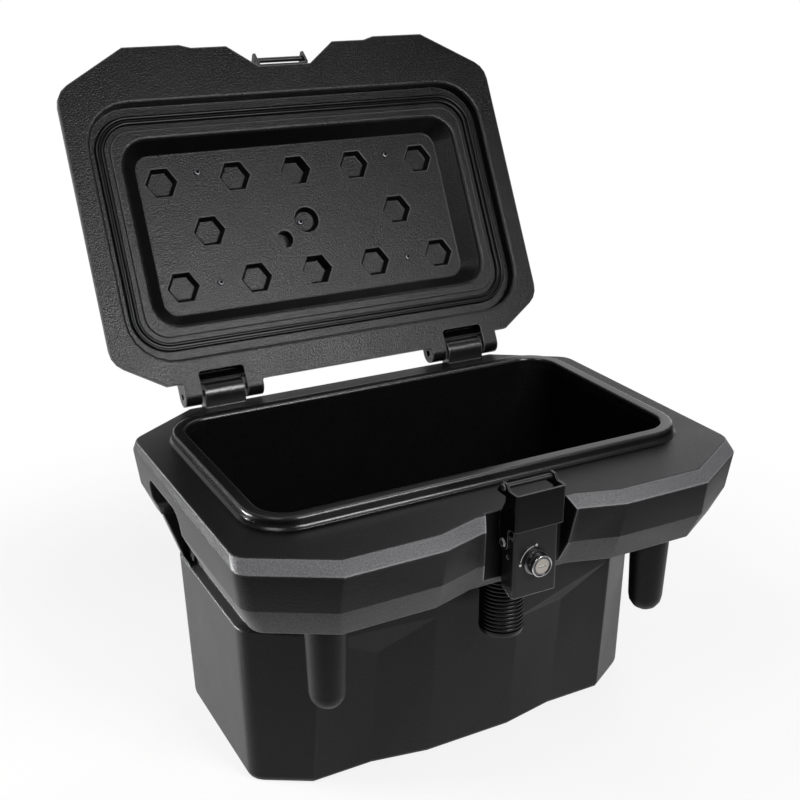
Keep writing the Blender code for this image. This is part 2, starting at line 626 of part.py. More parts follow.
def make_tub():
    under = rim_outline(RIM_UNDERSIDE_INSETS, RIM_UNDERSIDE_CHAMFER)
    crease = rim_outline(RIM_CREASE_INSETS, RIM_CREASE_CHAMFER)
    widest = rim_outline((0.0, 0.0, 0.0))
    top = rim_outline(RIM_TOP_INSETS)
    rings = []
    for angle in (0, 45):
        z = TUB_BOTTOM_ROUND * (1 - math.cos(math.radians(angle)))
        step_in = TUB_BOTTOM_ROUND * (1 - math.sin(math.radians(angle)))
        rings.append(level(with_round_corners(inset(tub_outline(z), step_in)), z))
    for z in (TUB_BOTTOM_ROUND, FACET_LOW, FACET_HIGH, LEDGE_HEIGHT):
        rings.append(level(with_round_corners(tub_outline(z)), z))
    for z in (LEDGE_HEIGHT + LEDGE_SLOPE, RIM_UNDERSIDE):
        rings.append(level(with_round_corners(tub_outline(z, LEDGE_INSET)), z))
    rings.append(level(with_round_corners(under), RIM_UNDERSIDE))
    rings.append(level(with_round_corners(crease), RIM_UNDERSIDE + RIM_CREASE))
    rings.append(level(with_round_corners(widest), RIM_TOP - RIM_BAND))
    rings.append(level(with_round_corners(top), RIM_TOP))
    tub = loft("tub", rings, POLYETHYLENE)
    round_edges(tub, RIM_EDGE_ROUND, 2, 22)

    half_lip = LIP_WIDTH / 2
    edge_round = quarter_round(LIP_EDGE_ROUND, 3)
    foot_round = quarter_round(LIP_FOOT_RADIUS, 4)[1:]
    foot_reach = half_lip + foot_round[0][0]
    lip = [lip_ring(foot_reach, RIM_TOP - LIP_HEIGHT)]
    lip += [lip_ring(half_lip + out, RIM_TOP + up) for out, up in foot_round]
    lip += [lip_ring(half_lip - back, LIP_TOP - drop) for drop, back in edge_round]
    join(tub, loft("lip", lip))

    flare_low = LEDGE_HEIGHT - FLARE_OVERLAP
    join(tub, loft("rear_flare", [
        rear_ring(tub_outline(flare_low, FLARE_TUCK), flare_low),
        rear_ring(under, RIM_UNDERSIDE + FLARE_OVERLAP),
    ]))

    for side in (-1, 1):
        tip = RIM_UNDERSIDE - POST_LENGTH
        root = RIM_UNDERSIDE + POST_ROOT_DEPTH
        dome = []
        for angle in (0, 22.5, 45, 67.5):
            out, down = math.cos(math.radians(angle)), math.sin(math.radians(angle))
            dome.append((POST_TIP_RADIUS * out, tip + POST_DOME * (1 - down)))
        profile = [(0, root), (POST_ROOT_RADIUS, root), (POST_ROOT_RADIUS, RIM_UNDERSIDE), *dome, (0, tip)]
        join(tub, turned("post", profile, (side * POST_X, POST_Y, 0)))

    for _, x in hinge_sides():
        neck_front = (HINGE_Y - HINGE_RADIUS, RIM_TOP - LIP_HEIGHT)
        neck_rear = (RIM_REAR - HINGE_RADIUS, RIM_TOP - KNUCKLE_NECK)
        barrel = arc((HINGE_Y, HINGE_Z), HINGE_RADIUS, -25, 180, 11)
        join(tub, prism("knuckle", "X", [neck_front, neck_rear, *barrel],
                        x - KNUCKLE_LENGTH / 2, x + KNUCKLE_LENGTH / 2))
        cut(tub, cylinder("knuckle_bore", "X", (HINGE_Y, HINGE_Z), HINGE_PIN_RADIUS + CLEARANCE,
                          x - KNUCKLE_LENGTH, x + KNUCKLE_LENGTH, 16))

    mouth_steps = 2 * CAVITY_STEPS + 1
    mouth_rear = LIP_REAR - half_lip
    cavity = [
        cavity_ring(TUB_FLOOR, LEDGE_INSET, mouth_rear - TUB_WALL),
        cavity_ring(RIM_UNDERSIDE, LEDGE_INSET, mouth_rear),
        lip_ring(-half_lip, LIP_TOP - LIP_HEIGHT, mouth_steps),
    ]
    cavity += [lip_ring(back - half_lip, LIP_TOP - drop, mouth_steps) for drop, back in edge_round]
    cavity.append(lip_ring(LIP_EDGE_ROUND - half_lip, LIP_TOP + LIP_HEIGHT, mouth_steps))
    cut(tub, loft("cavity", cavity))

    notch_half = LATCH_NOTCH_HALF_WIDTH
    reach = LATCH_NOTCH_FLOOR + CLEARANCE
    flare = notch_half + LATCH_NOTCH_FLARE * reach
    cut(tub, prism("latch_notch", "Z", [
        (-notch_half, LATCH_FLOOR_Y), (-flare, LATCH_FLOOR_Y - reach),
        (flare, LATCH_FLOOR_Y - reach), (notch_half, LATCH_FLOOR_Y),
    ], BASE_BOTTOM, RIM_TOP + LIP_HEIGHT))

    handle_top = RIM_TOP - HANDLE_TOP_WALL
    below = LEDGE_HEIGHT + LEDGE_SLOPE
    flare_top = RIM_UNDERSIDE + HANDLE_FLARE_HEIGHT
    handle = rounded([
        (HANDLE_FRONT - HANDLE_FRONT_FLARE, below), (HANDLE_FRONT - HANDLE_FRONT_FLARE, RIM_UNDERSIDE),
        (HANDLE_FRONT, flare_top), (HANDLE_FRONT, handle_top), (HANDLE_REAR, handle_top),
        (HANDLE_REAR, flare_top), (HANDLE_REAR + HANDLE_REAR_FLARE, RIM_UNDERSIDE),
        (HANDLE_REAR + HANDLE_REAR_FLARE, below),
    ], [0, 0, *[HANDLE_CORNER_RADIUS] * 4, 0, 0], 4)
    inner = tub_outline(handle_top, LEDGE_INSET)[3].x
    outer = RIM_HALF_WIDTH + RIM_OVERHANG_SIDE
    cut(tub, prism("handle_right", "X", handle, inner, outer))
    cut(tub, prism("handle_left", "X", handle, -outer, -inner))

    insert_top = RIM_UNDERSIDE + ANCHOR_INSERT_LENGTH + CLEARANCE
    cut(tub, cylinder("anchor_insert_hole", "Z", (0, ANCHOR_Y), ANCHOR_INSERT_RADIUS + CLEARANCE,
                      RIM_UNDERSIDE - ANCHOR_INSERT_LENGTH, insert_top, 16))
    return tub


# Lid, modelled closed

def lid_outline():
    front_chamfer = LID_HALF_WIDTH - LID_FRONT_CHAMFER_WIDTH
    half = [
        (LID_FRONT_STEP_HALF_WIDTH, LID_FRONT + LID_FRONT_STEP),
        (LID_FRONT_STEP_HALF_WIDTH + LID_FRONT_STEP_SLOPE, LID_FRONT),
        (front_chamfer, LID_FRONT),
        (LID_HALF_WIDTH, LID_FRONT + LID_FRONT_CHAMFER_DEPTH),
        (LID_HALF_WIDTH, LID_REAR - LID_REAR_CHAMFER_DEPTH),
        (LID_HALF_WIDTH - LID_REAR_CHAMFER_WIDTH, LID_REAR),
        (LID_HEEL_HALF_WIDTH, LID_REAR),
        (LID_HEEL_HALF_WIDTH, LID_REAR + LID_HEEL),
    ]
    outline = mirrored(half)
    radii = [0.0] * len(outline)
    for i in (3, 4, 11, 12):
        radii[i] = LID_CORNER_RADIUS
    return rounded(outline, radii)


def groove_outline(side, end, radius):
    """A rounded rectangle that runs round the lip's middle line, moved outwards by two distances."""
    return round_rectangle(LIP_HALF_WIDTH + side, LIP_FRONT - end, LIP_REAR + end, radius)


def mouth_rings(offset_side, offset_end, radius, face, edge):
    """The mouth of a cut into a face, with its edge rounded, from outside the face inwards."""
    rounds = quarter_round(edge, 4)
    heights = [(edge, face - LID_EDGE)] + [(out, face + down) for out, down in rounds]
    return [level(groove_outline(offset_side + out, offset_end + out, radius + out), z)
            for out, z in heights]


def hinge_pocket():
    """(y, z) outline of the pocket over a knuckle, under a skin along the lid's sloping edge."""
    slope = (LID_SHOULDER_HEIGHT - LID_EDGE) / LID_SHOULDER_INSET
    skin = HINGE_POCKET_SKIN * math.hypot(1, slope)
    wall = LID_REAR - HINGE_POCKET_DEPTH
    below = FLANGE - LID_EDGE
    top = FLANGE + LID_EDGE + slope * HINGE_POCKET_DEPTH - skin
    return [(wall, below), (wall, top), (wall + (top - below) / slope, below)]


def recess_floor():
    """Half width, front and rear of the recess floor."""
    edge = GASKET_WIDTH / 2 + GROOVE_INNER_GAP + RIDGE_WIDTH
    half = LIP_HALF_WIDTH - edge - RECESS_DRAFT_SIDE
    front = LIP_FRONT + edge + RECESS_DRAFT_FRONT
    rear = LIP_REAR - edge - RECESS_DRAFT_REAR
    return half, front, rear


def lid_screw_places():
    """Centres of the four screws in the recess floor."""
    half, front, rear = recess_floor()
    first = front + HEX_FROM_END - LID_SCREW_FRONT_OFFSET
    last = rear - HEX_FROM_END
    out = half - LID_SCREW_FROM_SIDE
    return ((-out, first), (out, first), (-out, last), (out, last))


def hex_places():
    """Centres of the hexagonal pockets, and whether each is a deep one."""
    half, front, rear = recess_floor()
    outer, inner = half - HEX_FROM_SIDE, half - HEX_INNER_FROM_SIDE
    first, last = front + HEX_FROM_END, rear - HEX_FROM_END
    places = []
    for y in (first, last):
        places.append((0.0, y, True))
        for x in (inner, outer):
            places += [(-x, y, False), (x, y, False)]
    middle = (inner + outer) / 2
    places += [(-middle, (first + last) / 2, False), (middle, (first + last) / 2, False)]
    return places


def make_lid():
    outline = lid_outline()
    shoulder = inset(outline, LID_SHOULDER_INSET)
    crown = inset(outline, LID_TOP_INSET)
    lid = loft("lid", [
        level(outline, FLANGE),
        level(outline, FLANGE + LID_EDGE),
        level(shoulder, FLANGE + LID_SHOULDER_HEIGHT),
        level(crown, LID_TOP),
    ], POLYETHYLENE)
    round_edges(lid, LID_EDGE_ROUND, 2, 20)

    for _, x in hinge_sides():
        ear = [(HINGE_Y - EAR_REACH, FLANGE)] + arc((HINGE_Y, HINGE_Z), HINGE_RADIUS, -90, 90, 10)
        ear.append((HINGE_Y - EAR_REACH, HINGE_Z + HINGE_RADIUS))
        for start in (x - EAR_START - EAR_LENGTH, x + EAR_START):
            join(lid, prism("ear", "X", ear, start, start + EAR_LENGTH))
        pocket = prism("hinge_pocket", "X", hinge_pocket(), x - EAR_START, x + EAR_START)
        round_edges(pocket, HINGE_POCKET_ROUND, 2, 60)
        cut(lid, pocket)
        cut(lid, cylinder("ear_bore", "X", (HINGE_Y, HINGE_Z), HINGE_PIN_RADIUS + CLEARANCE,
                          x - EAR_START - 2 * EAR_LENGTH, x + EAR_START + 2 * EAR_LENGTH, 16))

    reach = NOTCH_DEPTH + LID_EDGE
    flare = NOTCH_HALF_WIDTH + NOTCH_SLOPE * reach
    cut(lid, prism("notch", "Z", [
        (-NOTCH_HALF_WIDTH, NOTCH_WALL), (-flare, NOTCH_WALL - reach),
        (flare, NOTCH_WALL - reach), (NOTCH_HALF_WIDTH, NOTCH_WALL),
    ], FLANGE - LID_EDGE, LID_TOP + LID_EDGE))

    below = FLANGE - LID_EDGE
    half_lip = LIP_WIDTH / 2
    groove_side = half_lip + GROOVE_SIDE_CLEARANCE
    groove_end = half_lip + GROOVE_END_CLEARANCE
    seat = groove_outline(groove_side, groove_end, LIP_RADIUS + groove_side)
    ridge_face = FLANGE + RIDGE_DEPTH
    cut(lid, loft("seat", [
        *mouth_rings(groove_side, groove_end, LIP_RADIUS + groove_side, FLANGE, SEAT_EDGE_ROUND),
        level(seat, ridge_face)]))
    groove = prism("groove", "Z", seat, FLANGE, GROOVE_FLOOR)
    inside = GASKET_WIDTH / 2 + GROOVE_INNER_GAP
    cut(groove, prism("ridge", "Z", groove_outline(-inside, -inside, LIP_RADIUS - inside),
                      below, LID_TOP))
    cut(lid, groove)

    half, front, rear = recess_floor()
    edge = inside + RIDGE_WIDTH
    floor = round_rectangle(half, front, rear, RECESS_RADIUS)
    cut(lid, loft("recess", [
        *mouth_rings(-edge, -edge, RECESS_RADIUS + RIDGE_WIDTH, ridge_face, RIDGE_ROUND),
        level(floor, RECESS_FLOOR)]))

    for x, y, deep in hex_places():
        depth = HEX_DEEP_DEPTH if deep else HEX_DEPTH
        cut(lid, cylinder("hex_pocket", "Z", (x, y), HEX_RADIUS, RECESS_FLOOR - CLEARANCE,
                          RECESS_FLOOR + depth, 6, HEX_FLOOR_RADIUS, math.radians(30)))
    centre = (front + rear) / 2
    cut(lid, cylinder("round_recess", "Z", (0, centre), ROUND_RECESS_RADIUS, RECESS_FLOOR - CLEARANCE,
                      RECESS_FLOOR + ROUND_RECESS_DEPTH, 20, ROUND_RECESS_FLOOR_RADIUS))
    cut(lid, cylinder("vent", "Z", (-VENT_LEFT, centre + VENT_BEHIND), VENT_RADIUS,
                      RECESS_FLOOR - RECESS_DEPTH / 2, RECESS_FLOOR + VENT_DEPTH, 18))

    for number, (x, y) in enumerate(lid_screw_places(), 1):
        make_screw(f"lid_screw_{number}", (lid,), (x, y, RECESS_FLOOR))
    pip = (-ROUND_RECESS_SCREW_LEFT, centre, RECESS_FLOOR + ROUND_RECESS_DEPTH)
    make_screw("round_recess_screw", (lid,), pip, length=ROUND_RECESS_SCREW_LENGTH)
    return lid


def make_screw(name, pieces, seat, turn=0.0, length=SCREW_LENGTH, through=0.0):
    """A screw into a face at seat, and its hole in the pieces that it goes through.

    Turned about X, its own Z axis runs from the head inwards. The head stands off the seat by the
    thickness that the screw clamps.
    """
    ahead = Matrix.Rotation(turn, 3, "X") @ Vector((0, 0, 1))
    rotation = (turn, 0, 0)
    head, shank = SCREW_HEAD_RADIUS, SCREW_RADIUS
    height = SCREW_HEAD_HEIGHT
    profile = [(0, length), (shank, length), (shank, 0), (head, 0), (head, -height / 2),
               (head * HEAD_CROWN, -height), (0, -height)]
    place = Vector(seat) - ahead * (CLEARANCE + through)
    turned(name, profile, place, rotation, 12, finish=BRIGHT_STEEL)
    hole = [(0, length), (shank + CLEARANCE, length), (shank + CLEARANCE, -length), (0, -length)]
    bore = turned(name + "_hole", hole, seat, rotation, 12)
    for piece in pieces:
        cut(piece, bore)


def make_gasket():
    half = GASKET_WIDTH / 2
    top = GASKET_FACE + GASKET_HEIGHT
    strip = prism("gasket", "Z", groove_outline(half, half, LIP_RADIUS + half), GASKET_FACE, top, RUBBER)
    cut(strip, prism("gasket_inside", "Z", groove_outline(-half, -half, LIP_RADIUS - half),
                     GASKET_FACE - GASKET_HEIGHT, top + GASKET_HEIGHT))
    cut(strip, box("gasket_seam", (-GASKET_SEAM / 2, 0, GASKET_FACE - GASKET_HEIGHT),
                   (GASKET_SEAM / 2, LIP_REAR + GASKET_WIDTH, top + GASKET_HEIGHT)))
    round_edges(strip, GASKET_EDGE_ROUND, 1, 60)


def make_hinge_pins():
    reach = EAR_START + EAR_LENGTH - HINGE_PIN_RECESS
    for side, x in hinge_sides():
        cylinder(f"hinge_pin_{side}", "X", (HINGE_Y, HINGE_Z), HINGE_PIN_RADIUS, x - reach, x + reach, 16,
                 finish=BRIGHT_STEEL)


# Latch and striker, folded from sheet

def channel_outline(half_width, web, ends, sheet):
    """Plan of a channel: its web lies at y = web, and its two flanges run to y = ends."""
    ahead = math.copysign(sheet, ends - web)
    bend, inner = BEND_RADIUS, BEND_INNER_RADIUS
    return rounded([
        (-half_width, ends), (-half_width, web), (half_width, web), (half_width, ends),
        (half_width - sheet, ends), (half_width - sheet, web + ahead),
        (sheet - half_width, web + ahead), (sheet - half_width, ends),
    ], [0, bend, bend, 0, 0, inner, inner, 0])


def base_screw_places():
    low = RIM_UNDERSIDE + BASE_SCREW_LOW
    heights = (low, low + BASE_SCREW_SPACING)
    return [(x, z) for x in (-BASE_SCREW_OUT, BASE_SCREW_OUT) for z in heights]


def make_latch_base(tub):
    half, foot = BASE_HALF_WIDTH, BASE_FOOT_GAP_HALF
    bend, inner = BEND_RADIUS, BEND_INNER_RADIUS
    shelf = BASE_REAR - SHEET
    plan = rounded([
        (-foot, BASE_REAR), (-half, BASE_REAR), (-half, BASE_FRONT), (half, BASE_FRONT),
        (half, BASE_REAR), (foot, BASE_REAR), (foot, shelf), (half - SHEET, shelf),
        (half - SHEET, BASE_PLATE_REAR), (SHEET - half, BASE_PLATE_REAR),
        (SHEET - half, shelf), (-foot, shelf),
    ], [0, bend, bend, bend, bend, 0, 0, inner, inner, inner, inner, 0])
    plate_top = BASE_BOTTOM + BASE_PLATE_HEIGHT
    base = prism("latch_base", "Z", plan, BASE_BOTTOM, plate_top, BLACK_STEEL)
    cut(base, box("flange_trim", (-2 * half, BASE_FRONT + BEND_RADIUS, BASE_BOTTOM + BASE_FLANGE_HEIGHT),
                  (2 * half, BASE_REAR + SHEET, plate_top + SHEET)))
    cut(base, prism("heel_trim", "X", [
        (BASE_FRONT, BASE_BOTTOM - SHEET), (BASE_REAR + SHEET, BASE_BOTTOM - SHEET),
        (BASE_REAR + SHEET, BASE_BOTTOM + BASE_HEEL_RISE),
    ], -2 * half, 2 * half))
    cut(base, cylinder("lock_hole", "Y", (0, LOCK_Z), LOCK_BARREL_RADIUS + CLEARANCE, BASE_FRONT - SHEET,
                       BASE_PLATE_REAR + SHEET))
    cut(base, cylinder("base_pivot_hole", "X", (PIVOT_Y, PIVOT_Z), PIVOT_RADIUS + CLEARANCE,
                       -2 * half, 2 * half, 16))
    for number, (x, z) in enumerate(base_screw_places(), 1):
        make_screw(f"latch_base_screw_{number}", (tub, base), (x, LATCH_FLOOR_Y, z), math.radians(-90),
                   through=SHEET + CLEARANCE)
    side_hole = (PIVOT_Y - SIDE_HOLE_FRONT_OF_PIVOT, PIVOT_Z - SIDE_HOLE_BELOW_PIVOT)
    cut(base, cylinder("side_hole", "X", side_hole, SIDE_HOLE_RADIUS, -2 * half, 2 * half, 12))


def headed_bar(name, centre, radius, head_radius, head_height):
    """A bar across the latch, with a riveted head outside each side of the lever."""
    shoulder = LEVER_OUTER + CLEARANCE
    end = shoulder + head_height
    crown = head_radius * HEAD_CROWN
    profile = [(0, end), (crown, end), (head_radius, shoulder), (radius, shoulder),
               (radius, -shoulder), (head_radius, -shoulder), (crown, -end), (0, -end)]
    turned(name, profile, (0, *centre), (0, math.radians(90), 0), 16, finish=BLACK_STEEL)


def make_latch_lever():
    """A folded cover whose two sides are the hooks: (y, z) outline of a side, then bent in plan."""
    cover_front = BASE_FRONT - LEVER_FRONT_GAP - SHEET
    before = cover_front - SHEET
    cover_bottom = PIVOT_Z + LEVER_COVER_BOTTOM
    cover_top = PIVOT_Z + LEVER_COVER_TOP
    top = PIVOT_Z + LEVER_TOP
    eye = LEVER_EYE_RADIUS
    tip = STRIKER_PLATE_FRONT - HOOK_TIP_GAP
    neck = ROD_Y - HOOK_NECK_REACH
    corners = [
        (before, cover_top), (before, cover_bottom), (PIVOT_Y - eye, cover_bottom),
        (PIVOT_Y - eye, PIVOT_Z - eye), (PIVOT_Y + eye, PIVOT_Z - eye),
        (PIVOT_Y + eye, ROD_Z - eye - 3 * STRIKER_ROD_RADIUS), (neck, ROD_Z - HOOK_ROOM),
        (neck, HOOK_UNDERSIDE), (tip, HOOK_UNDERSIDE), (tip, HOOK_UNDERSIDE + HOOK_TIP_RISE),
        (LATCH_BAR_Y + LATCH_BAR_RADIUS, top), (LATCH_BAR_Y - LATCH_BAR_BELOW_TOP, top),
        (LATCH_BAR_Y - 2 * LATCH_BAR_BELOW_TOP, cover_top),
    ]
    sweep, small = LEVER_SWEEP_RADIUS, HOOK_ROUND
    radii = [0, 0, sweep, eye - CLEARANCE, eye - CLEARANCE, sweep, small, 0, 0, 0, small, small, small]
    beyond = 2 * LEVER_OUTER
    lever = prism("latch_lever", "X", rounded(corners, radii, 4), -beyond, beyond, BLACK_STEEL)
    plan = channel_outline(LEVER_OUTER, cover_front, tip + SHEET, SHEET)
    combine(lever, prism("lever_folds", "Z", plan, BASE_BOTTOM, top + SHEET), "INTERSECT")
    bar = (LATCH_BAR_Y, LATCH_BAR_Z)
    cut(lever, cylinder("lever_pivot_hole", "X", (PIVOT_Y, PIVOT_Z), PIVOT_RADIUS + CLEARANCE,
                        -beyond, beyond, 16))
    cut(lever, cylinder("lever_bar_hole", "X", bar, LATCH_BAR_RADIUS + CLEARANCE, -beyond, beyond, 16))
    headed_bar("latch_bar", bar, LATCH_BAR_RADIUS, LATCH_BAR_RIVET_RADIUS, LATCH_BAR_RIVET_HEIGHT)


def make_pivot_pin():
    headed_bar("pivot_pin", (PIVOT_Y, PIVOT_Z), PIVOT_RADIUS, PIVOT_HEAD_RADIUS, PIVOT_HEAD_HEIGHT)


def make_striker(lid):
    bottom = FLANGE + STRIKER_PLATE_ABOVE_FLANGE
    top = bottom + STRIKER_PLATE_HEIGHT
    nose = ROD_Y - STRIKER_NOSE
    behind = STRIKER_REAR + STRIKER_SHEET
    shoulder = STRIKER_PLATE_FRONT - STRIKER_SHEET / 2
    side = [
        (behind, bottom), (behind, top), (shoulder, top),
        (nose, ROD_Z + STRIKER_NOSE_HALF_HEIGHT), (nose, ROD_Z - STRIKER_NOSE_HALF_HEIGHT),
        (shoulder, bottom),
    ]
    bracket = prism("striker_bracket", "X", side, -2 * STRIKER_OUTER, 2 * STRIKER_OUTER, BLACK_STEEL)
    plan = channel_outline(STRIKER_OUTER, STRIKER_REAR, nose - STRIKER_SHEET, STRIKER_SHEET)
    combine(bracket, prism("striker_folds", "Z", plan, FLANGE, top + STRIKER_SHEET), "INTERSECT")
    cut(bracket, cylinder("rod_hole", "X", (ROD_Y, ROD_Z), STRIKER_ROD_RADIUS + CLEARANCE,
                          -2 * STRIKER_OUTER, 2 * STRIKER_OUTER, 16))
    reach = STRIKER_OUTER + STRIKER_ROD_PROUD
    cylinder("striker_rod", "X", (ROD_Y, ROD_Z), STRIKER_ROD_RADIUS, -reach, reach, 16, finish=BLACK_STEEL)
    for side_name, x in (("left", -STRIKER_SCREW_OUT), ("right", STRIKER_SCREW_OUT)):
        make_screw(f"striker_screw_{side_name}", (lid, bracket),
                   (x, NOTCH_WALL, ROD_Z + STRIKER_SCREW_ABOVE_ROD), math.radians(-90),
                   through=STRIKER_SHEET + CLEARANCE)


# Key lock: turned pieces whose own Z axis points out of the box's front

LOCK_TURN = (math.radians(90), 0, 0)


def make_lock_housing():
    front = CLEARANCE + LOCK_BEZEL_LENGTH
    bore = LOCK_PLUG_RADIUS + CLEARANCE
    seat = front - LOCK_PLUG_RECESS - LOCK_PLUG_LIP_LENGTH - CLEARANCE
    lip = LOCK_PLUG_LIP_RADIUS + CLEARANCE
    profile = [
        (lip, front), (LOCK_BEZEL_RADIUS - LOCK_BEZEL_ROUND, front),
        (LOCK_BEZEL_RADIUS, front - LOCK_BEZEL_ROUND), (LOCK_BEZEL_RADIUS, CLEARANCE),
        (LOCK_BARREL_RADIUS, CLEARANCE), (LOCK_BARREL_RADIUS, -LOCK_BARREL_LENGTH),
        (bore, -LOCK_BARREL_LENGTH), (bore, seat), (lip, seat),
    ]
    turned("lock_housing", profile, (0, BASE_FRONT, LOCK_Z), LOCK_TURN, 28, True, CHROME)
    start = BASE_PLATE_REAR + CLEARANCE
    nut = cylinder("lock_nut", "Y", (0, LOCK_Z), LOCK_NUT_RADIUS, start, start + LOCK_NUT_LENGTH, 6,
                   finish=BRIGHT_STEEL)
    cut(nut, cylinder("nut_bore", "Y", (0, LOCK_Z), LOCK_BARREL_RADIUS + CLEARANCE,
                      BASE_FRONT, BARREL_END, 28))


def make_lock_plug():
    front = CLEARANCE + LOCK_BEZEL_LENGTH - LOCK_PLUG_RECESS
    lip = front - LOCK_PLUG_LIP_LENGTH
    profile = [
        (0, front), (LOCK_PLUG_LIP_RADIUS, front), (LOCK_PLUG_LIP_RADIUS, lip),
        (LOCK_PLUG_RADIUS, lip), (LOCK_PLUG_RADIUS, -LOCK_BARREL_LENGTH), (0, -LOCK_BARREL_LENGTH),
    ]
    plug = turned("lock_plug", profile, (0, BASE_FRONT, LOCK_Z), LOCK_TURN, 24, finish=CHROME)
    half_length, half_width = KEY_SLOT_LENGTH / 2, KEY_SLOT_WIDTH / 2
    face = BASE_FRONT - front
    cut(plug, box("key_slot", (-half_length, face - KEY_SLOT_DEPTH, LOCK_Z - half_width),
                  (half_length, face + KEY_SLOT_DEPTH, LOCK_Z + half_width)))

    end = CAM_LENGTH - CAM_HALF_WIDTH
    outline = arc((0, LOCK_Z), CAM_HALF_WIDTH, -90, 90, 8) + arc((-end, LOCK_Z), CAM_HALF_WIDTH, 90, 270, 8)
    start = BARREL_END + CLEARANCE
    cam = prism("lock_cam", "Y", outline, start, start + CAM_SHEET, BRIGHT_STEEL)
    hole = cylinder("cam_screw_hole", "Y", (0, LOCK_Z), CAM_SCREW_RADIUS + CLEARANCE,
                    start + 2 * CAM_SHEET - CAM_SCREW_LENGTH - CAM_SHEET, start + 2 * CAM_SHEET, 12)
    cut(cam, hole)
    cut(plug, hole)
    head = CAM_SCREW_HEAD_RADIUS
    profile = [
        (0, CAM_SCREW_LENGTH), (CAM_SCREW_RADIUS, CAM_SCREW_LENGTH), (CAM_SCREW_RADIUS, 0), (head, 0),
        (head, -CAM_SCREW_HEAD_HEIGHT), (0, -CAM_SCREW_HEAD_HEIGHT),
    ]
    seat = start + CAM_SHEET + CLEARANCE
    turned("cam_screw", profile, (0, seat, LOCK_Z), LOCK_TURN, 12, finish=BRIGHT_STEEL)


# Rubber anchor

def make_anchor():
    bore = ANCHOR_BOLT_RADIUS + CLEARANCE
    profile = [(bore, ANCHOR_TOP), (ANCHOR_RADIUS, ANCHOR_TOP)]
    for rib in range(ANCHOR_RIBS):
        z = ANCHOR_TOP - rib * ANCHOR_RIB_PITCH
        profile.append((ANCHOR_RADIUS, z - ANCHOR_RIB_PITCH / 2))
        profile.append((ANCHOR_RADIUS - ANCHOR_RIB_DEPTH, z - ANCHOR_RIB_PITCH * 3 / 4))
    profile += [
        (ANCHOR_RADIUS, ANCHOR_BOTTOM + ANCHOR_END_LENGTH),
        (ANCHOR_RADIUS, ANCHOR_BOTTOM + ANCHOR_END_ROUND),
        (ANCHOR_RADIUS - ANCHOR_END_ROUND, ANCHOR_BOTTOM), (bore, ANCHOR_BOTTOM),
    ]
    turned("anchor_sleeve", profile, (0, ANCHOR_Y, 0), steps=28, closed=True, finish=RUBBER)

    head = ANCHOR_BOTTOM - CLEARANCE
    bolt_top = RIM_UNDERSIDE + ANCHOR_INSERT_LENGTH - CLEARANCE
    radius, head_radius = ANCHOR_BOLT_RADIUS, ANCHOR_BOLT_HEAD_RADIUS
    turned("anchor_bolt", [
        (0, bolt_top), (radius, bolt_top), (radius, head), (head_radius, head),
        (head_radius * HEAD_CROWN, head - ANCHOR_BOLT_HEAD_HEIGHT), (0, head - ANCHOR_BOLT_HEAD_HEIGHT),
    ], (0, ANCHOR_Y, 0), steps=16, finish=BRIGHT_STEEL)
    insert_top = RIM_UNDERSIDE + ANCHOR_INSERT_LENGTH
    turned("anchor_insert", [
        (bore, insert_top), (ANCHOR_INSERT_RADIUS, insert_top), (ANCHOR_INSERT_RADIUS, RIM_UNDERSIDE),
        (bore, RIM_UNDERSIDE),
    ], (0, ANCHOR_Y, 0), steps=16, closed=True, finish=BRASS)


# Assembly

def carry(name, location, make):
    """Runs a maker and hangs all that it made on an empty at a joint's axis."""
    known = set(bpy.data.objects)
    make()
    riders = [made for made in bpy.data.objects if made not in known]
    axis = bpy.data.objects.new(name, None)
    axis.location = location
    PARTS.objects.link(axis)
    for rider in riders:
        rider.parent = axis
        rider.matrix_parent_inverse = Matrix.Translation(-Vector(location))
    return axis


def make_lid_pieces():
    lid = make_lid()
    make_gasket()
    make_striker(lid)


make_latch_base(make_tub())
make_hinge_pins()
make_pivot_pin()
make_lock_housing()
make_anchor()
carry("latch_axis", (0, PIVOT_Y, PIVOT_Z), make_latch_lever)
carry("lock_axis", (0, BASE_FRONT, LOCK_Z), make_lock_plug)
hinge = carry("hinge_axis", (0, HINGE_Y, HINGE_Z), make_lid_pieces)
hinge.rotation_euler.x = -LID_OPEN_ANGLE
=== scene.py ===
import math

import bmesh
import bpy
from mathutils import Matrix, Vector


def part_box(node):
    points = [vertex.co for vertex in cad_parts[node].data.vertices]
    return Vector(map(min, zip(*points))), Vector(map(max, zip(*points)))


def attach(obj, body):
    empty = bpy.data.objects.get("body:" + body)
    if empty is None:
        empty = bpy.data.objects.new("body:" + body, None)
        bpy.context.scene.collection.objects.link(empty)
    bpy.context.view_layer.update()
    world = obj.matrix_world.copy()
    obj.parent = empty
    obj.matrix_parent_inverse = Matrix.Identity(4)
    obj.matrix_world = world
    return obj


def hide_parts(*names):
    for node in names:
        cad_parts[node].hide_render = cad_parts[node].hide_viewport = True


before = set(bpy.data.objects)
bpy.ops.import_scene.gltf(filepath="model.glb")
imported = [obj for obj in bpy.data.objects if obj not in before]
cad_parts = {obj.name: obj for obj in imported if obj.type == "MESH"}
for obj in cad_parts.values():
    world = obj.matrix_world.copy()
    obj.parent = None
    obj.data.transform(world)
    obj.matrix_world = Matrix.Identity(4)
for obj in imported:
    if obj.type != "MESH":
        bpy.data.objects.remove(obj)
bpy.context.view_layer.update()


# Tub: one rotational moulding of black polyethylene, with its rim, lip, posts and hinge knuckles.
# The mould leaves a fine pebble all over it, and every edge comes out a little rounded.

def linear(code):
    """The linear colour of an sRGB hex value."""
    parts = [int(code[i:i + 2], 16) / 255 for i in (1, 3, 5)]
    return [c / 12.92 if c < 0.0405 else ((c + 0.055) / 1.055) ** 2.4 for c in parts] + [1.0]


